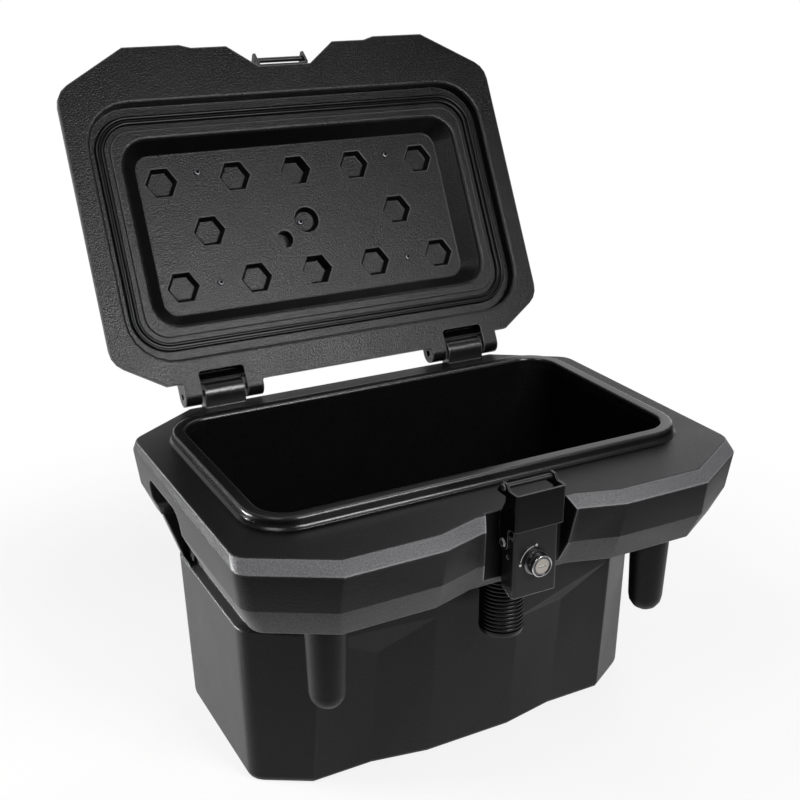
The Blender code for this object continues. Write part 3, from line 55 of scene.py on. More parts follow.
def add(tree, kind, inputs, **settings):
    """A new node with its settings. Each input takes a value, or an output to link."""
    made = tree.nodes.new("ShaderNode" + kind)
    for name, value in settings.items():
        setattr(made, name, value)
    for socket, value in inputs.items():
        if isinstance(value, bpy.types.NodeSocket):
            tree.links.new(value, made.inputs[socket])
        else:
            made.inputs[socket].default_value = value
    return made


def new_finish(name):
    """A material, its node tree, its shader and the piece's own coordinates."""
    made = bpy.data.materials.new(name)
    made.use_nodes = True
    tree = made.node_tree
    place = add(tree, "TexCoord", {}).outputs["Object"]
    return made, tree, tree.nodes["Principled BSDF"], place


def take(made):
    """Makes a new piece the only selected and the active one."""
    if made.name not in bpy.context.scene.collection.objects:
        bpy.context.scene.collection.objects.link(made)
    bpy.ops.object.select_all(action="DESELECT")
    made.select_set(True)
    bpy.context.view_layer.objects.active = made


# Faces broader than BROAD keep a crease where they meet, and narrow ones shade as round.
BROAD = 0.008
CREASE = math.radians(4)


def breadth(face):
    """The width of a strip of the face's area and outline."""
    return 2 * face.calc_area() / face.calc_perimeter()


def shade(made, round_below):
    """Smooth shading that keeps flat faces flat and their creases crisp."""
    take(made)
    bpy.ops.object.shade_smooth_by_angle(angle=math.radians(round_below), keep_sharp_edges=False)
    shape = bmesh.new()
    shape.from_mesh(made.data)
    for edge in shape.edges:
        if len(edge.link_faces) == 2 and edge.calc_face_angle() > CREASE:
            if min(breadth(face) for face in edge.link_faces) > BROAD:
                edge.smooth = False
    shape.to_mesh(made.data)
    shape.free()
    balance = made.modifiers.new("flat_faces", "WEIGHTED_NORMAL")
    balance.weight = 100
    balance.keep_sharp = True
    bpy.ops.object.modifier_apply(modifier=balance.name)


MERGE_GAP = 0.00002
FLAT_WITHIN = math.radians(0.2)


def welded(node, body, name, finish, round_below=35):
    """A copy of a CAD node with its loose triangles joined, so that its round faces shade as round."""
    made = bpy.data.objects.new(name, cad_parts[node].data.copy())
    take(made)
    bpy.ops.mesh.customdata_custom_splitnormals_clear()
    bpy.ops.object.mode_set(mode="EDIT")
    bpy.ops.mesh.select_all(action="SELECT")
    bpy.ops.mesh.remove_doubles(threshold=MERGE_GAP)
    bpy.ops.mesh.dissolve_limited(angle_limit=FLAT_WITHIN)
    bpy.ops.object.mode_set(mode="OBJECT")
    shade(made, round_below)
    made.data.materials.clear()
    made.data.materials.append(finish)
    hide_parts(node)
    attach(made, body)
    return made


# Rotomoulded polyethylene: a satin black skin whose pebble breaks each highlight into fine grain.
# Edges take a paler painted highlight, and hollows a painted shade that blackens them.
# The real pebble is about 0.6 mm, and is drawn coarser so that it shows.
CLOUD_MM = 55
EDGE_MM = 3.0
HOLLOW_MM = 14
PLASTIC_IOR = 1.5
# Limits on the masks: how far an edge turns the normal, how open an edge with a painted highlight lies,
# which grains are light, and how far the painted shade darkens a hollow.
EDGE_TURN_START = 0.997
EDGE_TURN_END = 0.965
HIGHLIGHT_OPEN_START, HIGHLIGHT_OPEN_END = 0.88, 0.98
SPECK_START, SPECK_END = 0.35, 0.65
SHADE_START, SHADE_SHARE = 0.3, 0.35
PAINTED_SHADE_BLACK = "#020202"


def polyethylene(name, grain_mm, relief_mm, tones, gloss, specular, edge_mm=EDGE_MM):
    """A skin with a dark tone, a light tone and a paler tone for the painted highlight on its edges, with
    painted shade in its hollows, from smooth to rough in clouds.
    """
    dark, light, edge_highlight_tone = (linear(tone) for tone in tones)
    made, tree, surface, place = new_finish(name)
    grain = add(tree, "TexNoise", {"Vector": place, "Scale": 1000 / grain_mm, "Detail": 2.0,
                                   "Roughness": 0.6})
    cloud = add(tree, "TexNoise", {"Vector": place, "Scale": 1000 / CLOUD_MM, "Detail": 3.0})
    edge = add(tree, "Bevel", {"Radius": edge_mm / 1000}, samples=6)
    shape = add(tree, "NewGeometry", {})
    turn = add(tree, "VectorMath", {0: edge.outputs["Normal"], 1: shape.outputs["Normal"]},
               operation="DOT_PRODUCT")
    bent = add(tree, "MapRange", {"Value": turn.outputs["Value"], "From Min": EDGE_TURN_START,
                                  "From Max": EDGE_TURN_END})
    hollow = add(tree, "AmbientOcclusion", {"Distance": HOLLOW_MM / 1000}, samples=6, only_local=True)
    open_edge = add(tree, "MapRange", {"Value": hollow.outputs["AO"], "From Min": HIGHLIGHT_OPEN_START,
                                  "From Max": HIGHLIGHT_OPEN_END})
    # Painted highlight: sharply turned, open edges take the paler tone.
    highlight_mask = add(tree, "Math", {0: bent.outputs["Result"], 1: open_edge.outputs["Result"]},
                 operation="MULTIPLY")
    speck = add(tree, "MapRange", {"Value": grain.outputs["Fac"], "From Min": SPECK_START,
                                   "From Max": SPECK_END})
    tone = add(tree, "MixRGB", {"Fac": speck.outputs["Result"], "Color1": dark, "Color2": light})
    # Painted shade: the colour blackens as a hollow closes in.
    hollow_shade = add(tree, "MapRange", {"Value": hollow.outputs["AO"], "From Min": SHADE_START,
                                  "To Min": SHADE_SHARE})
    shaded = add(tree, "MixRGB", {"Fac": hollow_shade.outputs["Result"], "Color1": linear(PAINTED_SHADE_BLACK),
                                  "Color2": tone.outputs["Color"]})
    skin = add(tree, "MixRGB", {"Fac": highlight_mask.outputs["Value"], "Color1": shaded.outputs["Color"],
                                "Color2": edge_highlight_tone})
    sheen = add(tree, "MapRange", {"Value": cloud.outputs["Fac"], "To Min": gloss[0], "To Max": gloss[1]})
    bump = add(tree, "Bump", {"Height": grain.outputs["Fac"], "Strength": 1.0,
                              "Distance": relief_mm / 1000, "Normal": edge.outputs["Normal"]})
    surface.inputs["IOR"].default_value = PLASTIC_IOR
    surface.inputs["Specular IOR Level"].default_value = specular
    tree.links.new(skin.outputs["Color"], surface.inputs["Base Color"])
    tree.links.new(sheen.outputs["Result"], surface.inputs["Roughness"])
    tree.links.new(bump.outputs["Normal"], surface.inputs["Normal"])
    return made


pebbled = polyethylene("pebbled_polyethylene", grain_mm=1.8, relief_mm=0.45, gloss=(0.30, 0.40),
                       tones=("#040405", "#0d0d0e", "#545457"), specular=0.17)
# The sloping band at the top of the rim has a closer and steeper grain, which scatters the light. Its paler
# tones are painted light, for the light that the upward-tilted band catches.
band_painted_light = polyethylene("close_grained_polyethylene_painted_light", grain_mm=1.5, relief_mm=0.45,
                            gloss=(0.40, 0.52), tones=("#48484a", "#656567", "#98989a"), specular=0.5)
# The rim's lower face has a wider and shallower grain, and a tone between the band's and the pebble's that
# is painted light, caught from below.
lower_face_painted_light = polyethylene("shallow_grained_polyethylene_painted_light", grain_mm=2.0, relief_mm=0.45,
                          gloss=(0.38, 0.48), tones=("#171718", "#303031", "#8c8c90"), specular=0.4)
# The lip is smooth and glossy, where the lid's seal bears on it.
glossy_lip = polyethylene("glossy_polyethylene", grain_mm=6.0, relief_mm=0.02, gloss=(0.20, 0.28),
                          tones=("#0c0c0d", "#111112", "#38383a"), specular=0.5)
# The hinge knuckles are satin, so that one broad highlight runs along each.
knuckle_skin = polyethylene("satin_polyethylene", grain_mm=2.2, relief_mm=0.30, gloss=(0.28, 0.35),
                            tones=("#050506", "#09090a", "#5c5c60"), specular=0.9)

# Heights in the tub, and the upward tilt of the faces that take each finish.
RIM_UNDERSIDE = 0.276
RIM_CREASE = 0.310
RIM_TOP = 0.3654
BAND_HEIGHT = 0.0126
BAND_TILT_LOW, BAND_TILT_HIGH = 0.3, 0.85
LOWER_TILT_LOW, LOWER_TILT_HIGH = -0.55, -0.25
LIP_CLEAR = 0.0003
KNUCKLE_FRONT = 0.2130
BAND, LOWER, LIP, KNUCKLE = 1, 2, 3, 4

tub = welded("tub", "box", "tub_moulding", pebbled, round_below=30)
for finish in (band_painted_light, lower_face_painted_light, glossy_lip, knuckle_skin):
    tub.data.materials.append(finish)
# Faces are picked by tilt: upward faces in the band take its painted light, and downward faces under the rim
# the lower face's.
for face in tub.data.polygons:
    height, tilt = face.center.z, face.normal.z
    if RIM_TOP - BAND_HEIGHT < height < RIM_TOP and BAND_TILT_LOW < tilt < BAND_TILT_HIGH:
        face.material_index = BAND
    elif RIM_UNDERSIDE < height < RIM_CREASE and LOWER_TILT_LOW < tilt < LOWER_TILT_HIGH:
        face.material_index = LOWER
    elif height > RIM_TOP + LIP_CLEAR:
        face.material_index = KNUCKLE if face.center.y > KNUCKLE_FRONT else LIP


# Rubber anchor: a ribbed sleeve that a bolt through it squeezes, so that it swells in a hole in the
# vehicle's bed. The bolt runs up into a brass insert in the rim.

# Moulded rubber: deep black, with a faint bloom in patches and a soft shine on its rounded ribs.
BLOOM_MM = 12
moulded_rubber, tree, surface, place = new_finish("moulded_rubber")
bloom = add(tree, "TexNoise", {"Vector": place, "Scale": 1000 / BLOOM_MM, "Detail": 4.0})
tone = add(tree, "MixRGB", {"Fac": bloom.outputs["Fac"], "Color1": linear("#030303"),
                            "Color2": linear("#070707")})
gloss = add(tree, "MapRange", {"Value": bloom.outputs["Fac"], "To Min": 0.26, "To Max": 0.38})
surface.inputs["IOR"].default_value = 1.52
surface.inputs["Specular IOR Level"].default_value = 0.25
tree.links.new(tone.outputs["Color"], surface.inputs["Base Color"])
tree.links.new(gloss.outputs["Result"], surface.inputs["Roughness"])

POINT_GAP = 0.000002


def closed_up(made):
    """Joins the points that meet in a new piece, and turns its faces outwards."""
    take(made)
    bpy.ops.object.mode_set(mode="EDIT")
    bpy.ops.mesh.select_all(action="SELECT")
    bpy.ops.mesh.remove_doubles(threshold=POINT_GAP)
    bpy.ops.mesh.normals_make_consistent(inside=False)
    bpy.ops.object.mode_set(mode="OBJECT")


def spun(name, profile, centre, steps):
    """A profile of (radius, height) points, closed or ending on the axis, turned about an upright axis."""
    mesh = bpy.data.meshes.new(name)
    edges = [(i, i + 1) for i in range(len(profile) - 1)]
    if profile[0][0] > 0:
        edges.append((len(profile) - 1, 0))
    mesh.from_pydata([(radius, 0, height) for radius, height in profile], edges, [])
    made = bpy.data.objects.new(name, mesh)
    take(made)
    bpy.ops.object.mode_set(mode="EDIT")
    bpy.ops.mesh.select_all(action="SELECT")
    bpy.ops.mesh.spin(steps=steps, angle=2 * math.pi, center=(0, 0, 0), axis=(0, 0, 1))
    bpy.ops.object.mode_set(mode="OBJECT")
    closed_up(made)
    mesh.transform(Matrix.Translation(centre))
    return made


RIBS = 15
RIB_PITCH = 0.0049
RIB_DEPTH = 0.0024
RIB_FILL = 0.43
RIB_ANGLES = (90, 54, 18, -18, -54, -90)
SLEEVE_BORE = 0.0053
SLEEVE_END = 0.004
COLLAR_SLOPE = 0.001
COLLAR_INSET, COLLAR_DROP = 0.0012, 0.0028
SLEEVE_STEPS = 64
low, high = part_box("anchor_sleeve")
sleeve_radius = (high[0] - low[0]) / 2
profile = [(SLEEVE_BORE, high[2]), (sleeve_radius - RIB_DEPTH, high[2])]
for rib in range(RIBS):
    middle = high[2] - (rib + 0.5) * RIB_PITCH
    for angle in RIB_ANGLES:
        out, rise = math.cos(math.radians(angle)), math.sin(math.radians(angle))
        profile.append((sleeve_radius - RIB_DEPTH * (1 - out), middle + RIB_FILL * RIB_PITCH * rise))
collar = low[2] + SLEEVE_END
profile += [(sleeve_radius - RIB_DEPTH, collar + SLEEVE_END),
            (sleeve_radius, collar + SLEEVE_END - COLLAR_SLOPE),
            (sleeve_radius, collar),
            (sleeve_radius - COLLAR_INSET, collar - COLLAR_DROP),
            (sleeve_radius - SLEEVE_END, low[2]),
            (SLEEVE_BORE, low[2])]
sleeve_centre = ((low[0] + high[0]) / 2, (low[1] + high[1]) / 2, 0)
sleeve = spun("ribbed_sleeve", profile, sleeve_centre, SLEEVE_STEPS)
shade(sleeve, round_below=40)
sleeve.data.materials.append(moulded_rubber)
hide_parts("anchor_sleeve")
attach(sleeve, "box")


def plated(name, dull, bright, gloss, patch_mm):
    """A metal whose tone and shine vary a little in patches."""
    made, tree, surface, place = new_finish(name)
    haze = add(tree, "TexNoise", {"Vector": place, "Scale": 1000 / patch_mm, "Detail": 3.0})
    tone = add(tree, "MixRGB", {"Fac": haze.outputs["Fac"], "Color1": linear(dull),
                                "Color2": linear(bright)})
    sheen = add(tree, "MapRange", {"Value": haze.outputs["Fac"], "To Min": gloss[0], "To Max": gloss[1]})
    surface.inputs["Metallic"].default_value = 1.0
    tree.links.new(tone.outputs["Color"], surface.inputs["Base Color"])
    tree.links.new(sheen.outputs["Result"], surface.inputs["Roughness"])
    return made


# Zinc-plated steel: grey-white metal with a soft, slightly cloudy shine.
PLATING_MM = 3
zinc_plate = plated("zinc_plated_steel", "#8f9194", "#b2b4b6", gloss=(0.26, 0.42), patch_mm=PLATING_MM)
welded("anchor_bolt", "box", "squeeze_bolt", zinc_plate)

# Turned brass: a warm yellow metal, slightly mottled and evenly dull.
turned_brass, tree, surface, place = new_finish("turned_brass")
mottle = add(tree, "TexNoise", {"Vector": place, "Scale": 1000 / PLATING_MM, "Detail": 2.0})
tone = add(tree, "MixRGB", {"Fac": mottle.outputs["Fac"], "Color1": linear("#a5854a"),
                            "Color2": linear("#c4a566")})
surface.inputs["Metallic"].default_value = 1.0
surface.inputs["Roughness"].default_value = 0.33
tree.links.new(tone.outputs["Color"], surface.inputs["Base Color"])

welded("anchor_insert", "box", "threaded_insert", turned_brass)


# Latch base: a channel folded from steel sheet and powder-coated satin black, held in the rim's notch
# by four screws. The lever turns on a pin through it, and pale filled marks show how far the key turns.

# Powder coat: black, with the shallow orange peel that the melted powder leaves, and a paler painted
# highlight at its edges.
PEEL_MM = 1.6
PEEL_DEPTH_MM = 0.3
COAT_EDGE_MM = 1.4
COAT_TURN_END = 0.96


def powder_coat(name, tones, gloss, specular, peel_strength):
    """A coat with a dark tone, a light tone and a paler tone for the painted highlight on its edges, and
    more or less orange peel.
    """
    dark, light, edge_highlight_tone = (linear(tone) for tone in tones)
    made, tree, surface, place = new_finish(name)
    peel = add(tree, "TexNoise", {"Vector": place, "Scale": 1000 / PEEL_MM, "Detail": 1.0})
    edge = add(tree, "Bevel", {"Radius": COAT_EDGE_MM / 1000}, samples=6)
    shape = add(tree, "NewGeometry", {})
    turn = add(tree, "VectorMath", {0: edge.outputs["Normal"], 1: shape.outputs["Normal"]},
               operation="DOT_PRODUCT")
    bent = add(tree, "MapRange", {"Value": turn.outputs["Value"], "From Min": EDGE_TURN_START,
                                  "From Max": COAT_TURN_END})
    tone = add(tree, "MixRGB", {"Fac": peel.outputs["Fac"], "Color1": dark, "Color2": light})
    # Painted highlight: the coat's edges take the paler tone.
    skin = add(tree, "MixRGB", {"Fac": bent.outputs["Result"], "Color1": tone.outputs["Color"],
                                "Color2": edge_highlight_tone})
    sheen = add(tree, "MapRange", {"Value": peel.outputs["Fac"], "To Min": gloss[0], "To Max": gloss[1]})
    bump = add(tree, "Bump", {"Height": peel.outputs["Fac"], "Strength": peel_strength,
                              "Distance": PEEL_DEPTH_MM / 1000, "Normal": edge.outputs["Normal"]})
    surface.inputs["IOR"].default_value = PLASTIC_IOR
    surface.inputs["Specular IOR Level"].default_value = specular
    tree.links.new(skin.outputs["Color"], surface.inputs["Base Color"])
    tree.links.new(sheen.outputs["Result"], surface.inputs["Roughness"])
    tree.links.new(bump.outputs["Normal"], surface.inputs["Normal"])
    return made


satin_coat = powder_coat("satin_powder_coat", tones=("#101011", "#171718", "#8a8a8c"),
                         gloss=(0.30, 0.38), specular=0.4, peel_strength=0.1)
welded("latch_base", "box", "latch_channel", satin_coat)
# The pin's coat takes a near-white painted highlight round its edges, where its rounded ends catch the
# light.
pin_coat_painted_highlight = powder_coat("pin_powder_coat_painted_highlight", tones=("#1c1c1d", "#2c2c2d", "#d0d0d2"),
                        gloss=(0.30, 0.38), specular=0.5, peel_strength=0.1)
welded("pivot_pin", "box", "lever_pin", pin_coat_painted_highlight)
for number in (1, 2, 3, 4):
    welded(f"latch_base_screw_{number}", "box", f"channel_screw_{number}", zinc_plate)

# Filled marks: matt pale paint in two dots and the arc between them, a hair proud of the plate.
mark_paint, tree, surface, place = new_finish("matt_marking_paint")
wear = add(tree, "TexNoise", {"Vector": place, "Scale": 1000 / PEEL_MM, "Detail": 3.0})
tone = add(tree, "MixRGB", {"Fac": wear.outputs["Fac"], "Color1": linear("#8b8b88"),
                            "Color2": linear("#c9c9c5")})
surface.inputs["Roughness"].default_value = 0.6
tree.links.new(tone.outputs["Color"], surface.inputs["Base Color"])


def softened(made, width, segments):
    """Rounds a new piece's edges."""
    edge = made.modifiers.new("soft_edge", "BEVEL")
    edge.width = width
    edge.segments = segments
    bpy.ops.object.modifier_apply(modifier=edge.name)


MARK_CIRCLE = 0.0195
MARK_RADIUS = 0.0016
MARK_HEIGHT = 0.00025
MARK_STEPS = 24
base_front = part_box("latch_base")[0][1]
lock_low, lock_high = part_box("lock_plug")
lock_z = (lock_low[2] + lock_high[2]) / 2
facing_front = Matrix.Rotation(math.radians(90), 4, "X")
on_lock_axis = Matrix.Translation((0, base_front, lock_z)) @ facing_front
for name, x, z in (("locked_mark", 0, lock_z + MARK_CIRCLE), ("open_mark", -MARK_CIRCLE, lock_z)):
    bpy.ops.object.select_all(action="DESELECT")
    bpy.ops.mesh.primitive_cylinder_add(vertices=MARK_STEPS, radius=MARK_RADIUS, depth=2 * MARK_HEIGHT)
    mark = bpy.context.object
    mark.name = name
    mark.data.transform(Matrix.Translation((x, base_front, z)) @ facing_front)
    softened(mark, MARK_HEIGHT / 2, segments=2)
    shade(mark, round_below=40)
    mark.data.materials.append(mark_paint)
    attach(mark, "box")

ARC_WIDTH = 0.0007
ARC_GAP = math.radians(9)
ARC_STEPS = 16
mesh = bpy.data.meshes.new("turn_arc")
inner, outer = MARK_CIRCLE - ARC_WIDTH / 2, MARK_CIRCLE + ARC_WIDTH / 2
corners = [(inner, -MARK_HEIGHT), (outer, -MARK_HEIGHT), (outer, MARK_HEIGHT), (inner, MARK_HEIGHT)]
first = math.radians(90) + ARC_GAP
mesh.from_pydata([(radius * math.cos(first), radius * math.sin(first), height)
                  for radius, height in corners], [], [(0, 1, 2, 3)])
arc = bpy.data.objects.new("turn_arc", mesh)
take(arc)
bpy.ops.object.mode_set(mode="EDIT")
bpy.ops.mesh.select_all(action="SELECT")
bpy.ops.mesh.spin(steps=ARC_STEPS, angle=math.radians(90) - 2 * ARC_GAP, center=(0, 0, 0), axis=(0, 0, -1))
bpy.ops.object.mode_set(mode="OBJECT")
closed_up(arc)
mesh.transform(on_lock_axis)
mesh.materials.append(mark_paint)
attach(arc, "box")


# Latch lever: a folded steel cover whose two hooks reach over the striker rod, with a bar between
# them. Its spring is in the joint alone, with no piece here. It is coated smoother and blacker than
# the base.

smooth_coat = powder_coat("smooth_black_coat", tones=("#050506", "#070708", "#5a5a5b"),
                          gloss=(0.22, 0.28), specular=0.3, peel_strength=0.02)
welded("latch_lever", "lever", "hook_lever", smooth_coat)
welded("latch_bar", "lever", "hook_bar", satin_coat)


# Key lock: a chrome-plated barrel through the base's plate, with a nut behind and a turning plug.
# The plug carries the cam, and a bright shutter closes its key slot.

# Bright chrome plate over turned zinc: a clear mirror, with a trace of haze.
HAZE_MM = 2.5
chrome_plate = plated("bright_chrome_plate", "#c4c4c4", "#d6d6d5", gloss=(0.08, 0.16), patch_mm=HAZE_MM)
# The same chrome plate on the barrel's side, its greyer tone painted shade, and less clear.
chrome_painted_shade = plated("chrome_plate_painted_shade", "#6a6a6c", "#828284", gloss=(0.16, 0.26), patch_mm=HAZE_MM)
# Satin nickel on the shutter: brighter than the plug, and soft enough to catch light from all round.
satin_nickel = plated("satin_nickel_plate", "#e2dfda", "#f2efea", gloss=(0.34, 0.44), patch_mm=HAZE_MM)
# Bead-blasted zinc: warm grey and dull, on the plug's face.
blasted_zinc = plated("blasted_zinc", "#c2bcb4", "#dad4cc", gloss=(0.42, 0.55), patch_mm=HAZE_MM)

# The barrel stands on a flange, and its bright front ring is turned down to a step round the plug, which
# takes the side's painted shade.
# Heights are measured from the base's front. The curves are pairs of an inset and a drop or a height.
FLANGE_RADIUS, FLANGE_BACK = 0.0150, 0.0003
FLANGE_CURVE = ((0.0004, 0.0018), (0.0, 0.0013))
SIDE_RADIUS, SIDE_FOOT = 0.0127, 0.0022
RING_OUTER, RING_INNER = 0.0126, 0.0109
RING_CURVE = ((0.0007, 0.0), (0.0002, 0.0004), (0.0, 0.0009))
RING_EDGE = 0.0004
RING_TAPER = 0.0001
RING_BRIGHT = 0.0008
LIP_BORE, LIP_DEPTH = 0.0088, 0.0027
PLUG_BORE = 0.0069
STEM_RADIUS, STEM_LENGTH = 0.0092, 0.0125
STEP_FACE = 0.0112
BARREL_STEPS = 48
front = base_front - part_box("lock_housing")[0][1]
barrel_profile = [
    (PLUG_BORE, -STEM_LENGTH), (PLUG_BORE, front - LIP_DEPTH), (LIP_BORE, front - LIP_DEPTH),
    (LIP_BORE, STEP_FACE), (RING_INNER - RING_TAPER, STEP_FACE), (RING_INNER, front - RING_EDGE),
    (RING_INNER + RING_EDGE, front),
]
barrel_profile += [(RING_OUTER - inset, front - drop) for inset, drop in RING_CURVE]
barrel_profile.append((SIDE_RADIUS, SIDE_FOOT))
barrel_profile += [(FLANGE_RADIUS - inset, height) for inset, height in FLANGE_CURVE]
barrel_profile += [(FLANGE_RADIUS, FLANGE_BACK), (STEM_RADIUS, FLANGE_BACK), (STEM_RADIUS, -STEM_LENGTH)]
barrel = spun("lock_barrel", barrel_profile, (0, 0, 0), BARREL_STEPS)
shade(barrel, round_below=30)
for finish in (chrome_painted_shade, chrome_plate):
    barrel.data.materials.append(finish)
# Only the front ring takes the bright plate. The side, flange and step take the painted shade.
for face in barrel.data.polygons:
    reach = math.hypot(face.center.x, face.center.y)
    if face.center.z > front - RING_BRIGHT and reach > RING_INNER - RING_TAPER:
        face.material_index = 1
barrel.data.transform(on_lock_axis)
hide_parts("lock_housing")
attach(barrel, "box")
welded("lock_nut", "box", "barrel_nut", zinc_plate, round_below=20)
welded("lock_plug", "plug", "key_plug", blasted_zinc)
welded("lock_cam", "plug", "turning_cam", zinc_plate, round_below=20)
welded("cam_screw", "plug", "cam_fixing", zinc_plate)

SHUTTER_LENGTH = 0.0070
SHUTTER_RADIUS = 0.00058
SHUTTER_CROWN = 0.35
SHUTTER_DEPTH = 0.0004
SHUTTER_EDGE = 0.0002
SHUTTER_STEPS = 16
bpy.ops.object.select_all(action="DESELECT")
bpy.ops.mesh.primitive_cylinder_add(vertices=SHUTTER_STEPS, radius=SHUTTER_RADIUS, depth=SHUTTER_LENGTH)
shutter = bpy.context.object
shutter.name = "slot_shutter"
shutter.data.transform(Matrix.Translation((0, lock_low[1] + SHUTTER_DEPTH, lock_z))
                       @ Matrix.Diagonal((1, SHUTTER_CROWN, 1, 1))
                       @ Matrix.Rotation(math.radians(90), 4, "Y"))
softened(shutter, SHUTTER_EDGE, segments=3)
shade(shutter, round_below=40)
shutter.data.materials.append(satin_nickel)
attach(shutter, "plug")


# Hinge pins: plain steel rods through the lid's ears and the tub's knuckles. They stay with the tub
# while the lid turns on them.

for side in ("left", "right"):
    welded(f"hinge_pin_{side}", "box", f"hinge_rod_{side}", zinc_plate)


# Lid: a moulding of the same polyethylene, with a recess set with hexagonal pockets that stiffen it,
# a ridge round the recess and a groove for the seal.

# The lid's skin takes the mould's pebble more deeply. Where a piece is one with the lid, the same skin goes
# on without the painted highlight on its edges.
LID_LOOK = {"grain_mm": 2.0, "relief_mm": 0.5, "tones": ("#050506", "#101011", "#5c5c60"),
            "gloss": (0.27, 0.37), "specular": 0.30}
NO_HIGHLIGHT_MM = 0.02
lid_skin = polyethylene("deep_pebbled_polyethylene", **LID_LOOK)
lid = welded("lid", "lid", "lid_moulding", lid_skin, round_below=30)

# Positions in the lid are given with it shut, and swung_open takes them to the open lid.
LID_OPEN = math.radians(117.35)
pin_low, pin_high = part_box("hinge_pin_left")
hinge = Vector((0, (pin_low[1] + pin_high[1]) / 2, (pin_low[2] + pin_high[2]) / 2))
swung_open = Matrix.Translation(hinge) @ Matrix.Rotation(-LID_OPEN, 4, "X") @ Matrix.Translation(-hinge)

# At each of the four corners of the CAD's outer top, two points cross over by a few millimetres and
# fold small facets back. This copy runs them together in one point.
LID_TOP = 0.4254
TOP_WITHIN = 0.0002
CORNER_OUT = 0.270
CORNER_SPREAD = 0.005
take(lid)
bpy.ops.mesh.customdata_custom_splitnormals_clear()
bpy.ops.object.mode_set(mode="EDIT")
bpy.ops.mesh.select_mode(type="VERT")
bpy.ops.mesh.select_all(action="DESELECT")
bpy.ops.object.mode_set(mode="OBJECT")
for point in lid.data.vertices:
    shut = swung_open.inverted() @ point.co
    point.select = shut.z > LID_TOP - TOP_WITHIN and abs(shut.x) > CORNER_OUT
bpy.ops.object.mode_set(mode="EDIT")
bpy.ops.mesh.remove_doubles(threshold=CORNER_SPREAD)
bpy.ops.mesh.select_all(action="SELECT")
bpy.ops.mesh.dissolve_degenerate(threshold=MERGE_GAP)
bpy.ops.mesh.dissolve_limited(angle_limit=FLAT_WITHIN)
bpy.ops.object.mode_set(mode="OBJECT")
shade(lid, round_below=30)


def prism(name, outline, length):
    """A flat outline of points, pushed out along a length."""
    mesh = bpy.data.meshes.new(name)
    mesh.from_pydata(outline, [], [tuple(range(len(outline)))])
    made = bpy.data.objects.new(name, mesh)
    take(made)
    bpy.ops.object.mode_set(mode="EDIT")
    bpy.ops.mesh.select_all(action="SELECT")
    bpy.ops.mesh.extrude_region_move(TRANSFORM_OT_translate={"value": length})
    bpy.ops.mesh.select_all(action="SELECT")
    bpy.ops.mesh.normals_make_consistent(inside=False)
    bpy.ops.object.mode_set(mode="OBJECT")
    return made


# The lid's rear edge runs into the inner hinge ears in a small web with a fillet, and a thin hood wraps
# each knuckle. The web's underside stands 0.15 mm proud of the lid's, so that no slit shows.
web_skin = polyethylene("polyethylene_without_edge_highlight", **LID_LOOK, edge_mm=NO_HIGHLIGHT_MM)
WEB_UNDERSIDE = 0.36725
WEB_HEIGHT = 0.0090
WEB_FRONT, WEB_REAR = 0.2070, 0.2221
EAR_SIDE, EAR_FACE, HEEL_SIDE = 0.1290, 0.12475, 0.1146
WEB_RADIUS = 0.0035
HOOD_INNER, HOOD_OUTER = 0.0139, 0.0158
HOOD_START, HOOD_END = 153, 184
HINGE_OUT = 0.177
HOOD_HALF_WIDTH = 0.0300
BEND_STEPS = 6
fillet_y = WEB_REAR + WEB_RADIUS
for name, side in (("left", -1), ("right", 1)):
    outline = [(EAR_SIDE, WEB_FRONT), (EAR_SIDE, fillet_y)]
    for step in range(BEND_STEPS + 1):
        angle = math.radians(90 * step / BEND_STEPS)
        outline.append((EAR_FACE - WEB_RADIUS + WEB_RADIUS * math.cos(angle),
                        fillet_y - WEB_RADIUS * math.sin(angle)))
    outline += [(HEEL_SIDE, WEB_REAR), (HEEL_SIDE, WEB_FRONT)]
    web = prism(f"ear_web_{name}", [(side * x, y, WEB_UNDERSIDE) for x, y in outline], (0, 0, WEB_HEIGHT))
    turns = [HOOD_START + (HOOD_END - HOOD_START) * step / BEND_STEPS for step in range(BEND_STEPS + 1)]
    rounds = [(HOOD_INNER, turn) for turn in turns] + [(HOOD_OUTER, turn) for turn in reversed(turns)]
    outline = [(side * HINGE_OUT - HOOD_HALF_WIDTH, hinge.y + radius * math.cos(math.radians(turn)),
                hinge.z + radius * math.sin(math.radians(turn))) for radius, turn in rounds]
    hood = prism(f"knuckle_hood_{name}", outline, (2 * HOOD_HALF_WIDTH, 0, 0))
    for piece, finish in ((web, web_skin), (hood, lid_skin)):
        shade(piece, round_below=30)
        piece.data.transform(swung_open)
        piece.data.materials.append(finish)
        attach(piece, "lid")

# Lid fixings: hollow-headed steel rivets in the recess, each with a round bore in its head.
HEAD_RADIUS = 0.0045
HEAD_HEIGHT = 0.0022
HEAD_ROUND = 0.0012
HEAD_KNEE = 0.3 * HEAD_ROUND
BORE_RADIUS = 0.0021
BORE_DEPTH = 0.0016
BORE_EDGE = 0.0003
SHANK_RADIUS = 0.0021
SHANK_LENGTH = 0.0036
RIVET_STEPS = 24
rivet_profile = [
    (0.0, -SHANK_LENGTH), (SHANK_RADIUS, -SHANK_LENGTH), (SHANK_RADIUS, 0.0), (HEAD_RADIUS, 0.0),
    (HEAD_RADIUS, HEAD_HEIGHT - HEAD_ROUND), (HEAD_RADIUS - HEAD_KNEE, HEAD_HEIGHT - HEAD_KNEE),
    (HEAD_RADIUS - HEAD_ROUND, HEAD_HEIGHT), (BORE_RADIUS + BORE_EDGE, HEAD_HEIGHT),
    (BORE_RADIUS, HEAD_HEIGHT - BORE_EDGE), (BORE_RADIUS, HEAD_HEIGHT - BORE_DEPTH),
    (0.0, HEAD_HEIGHT - BORE_DEPTH),
]
rivet = spun("rivet", rivet_profile, (0, 0, 0), RIVET_STEPS)
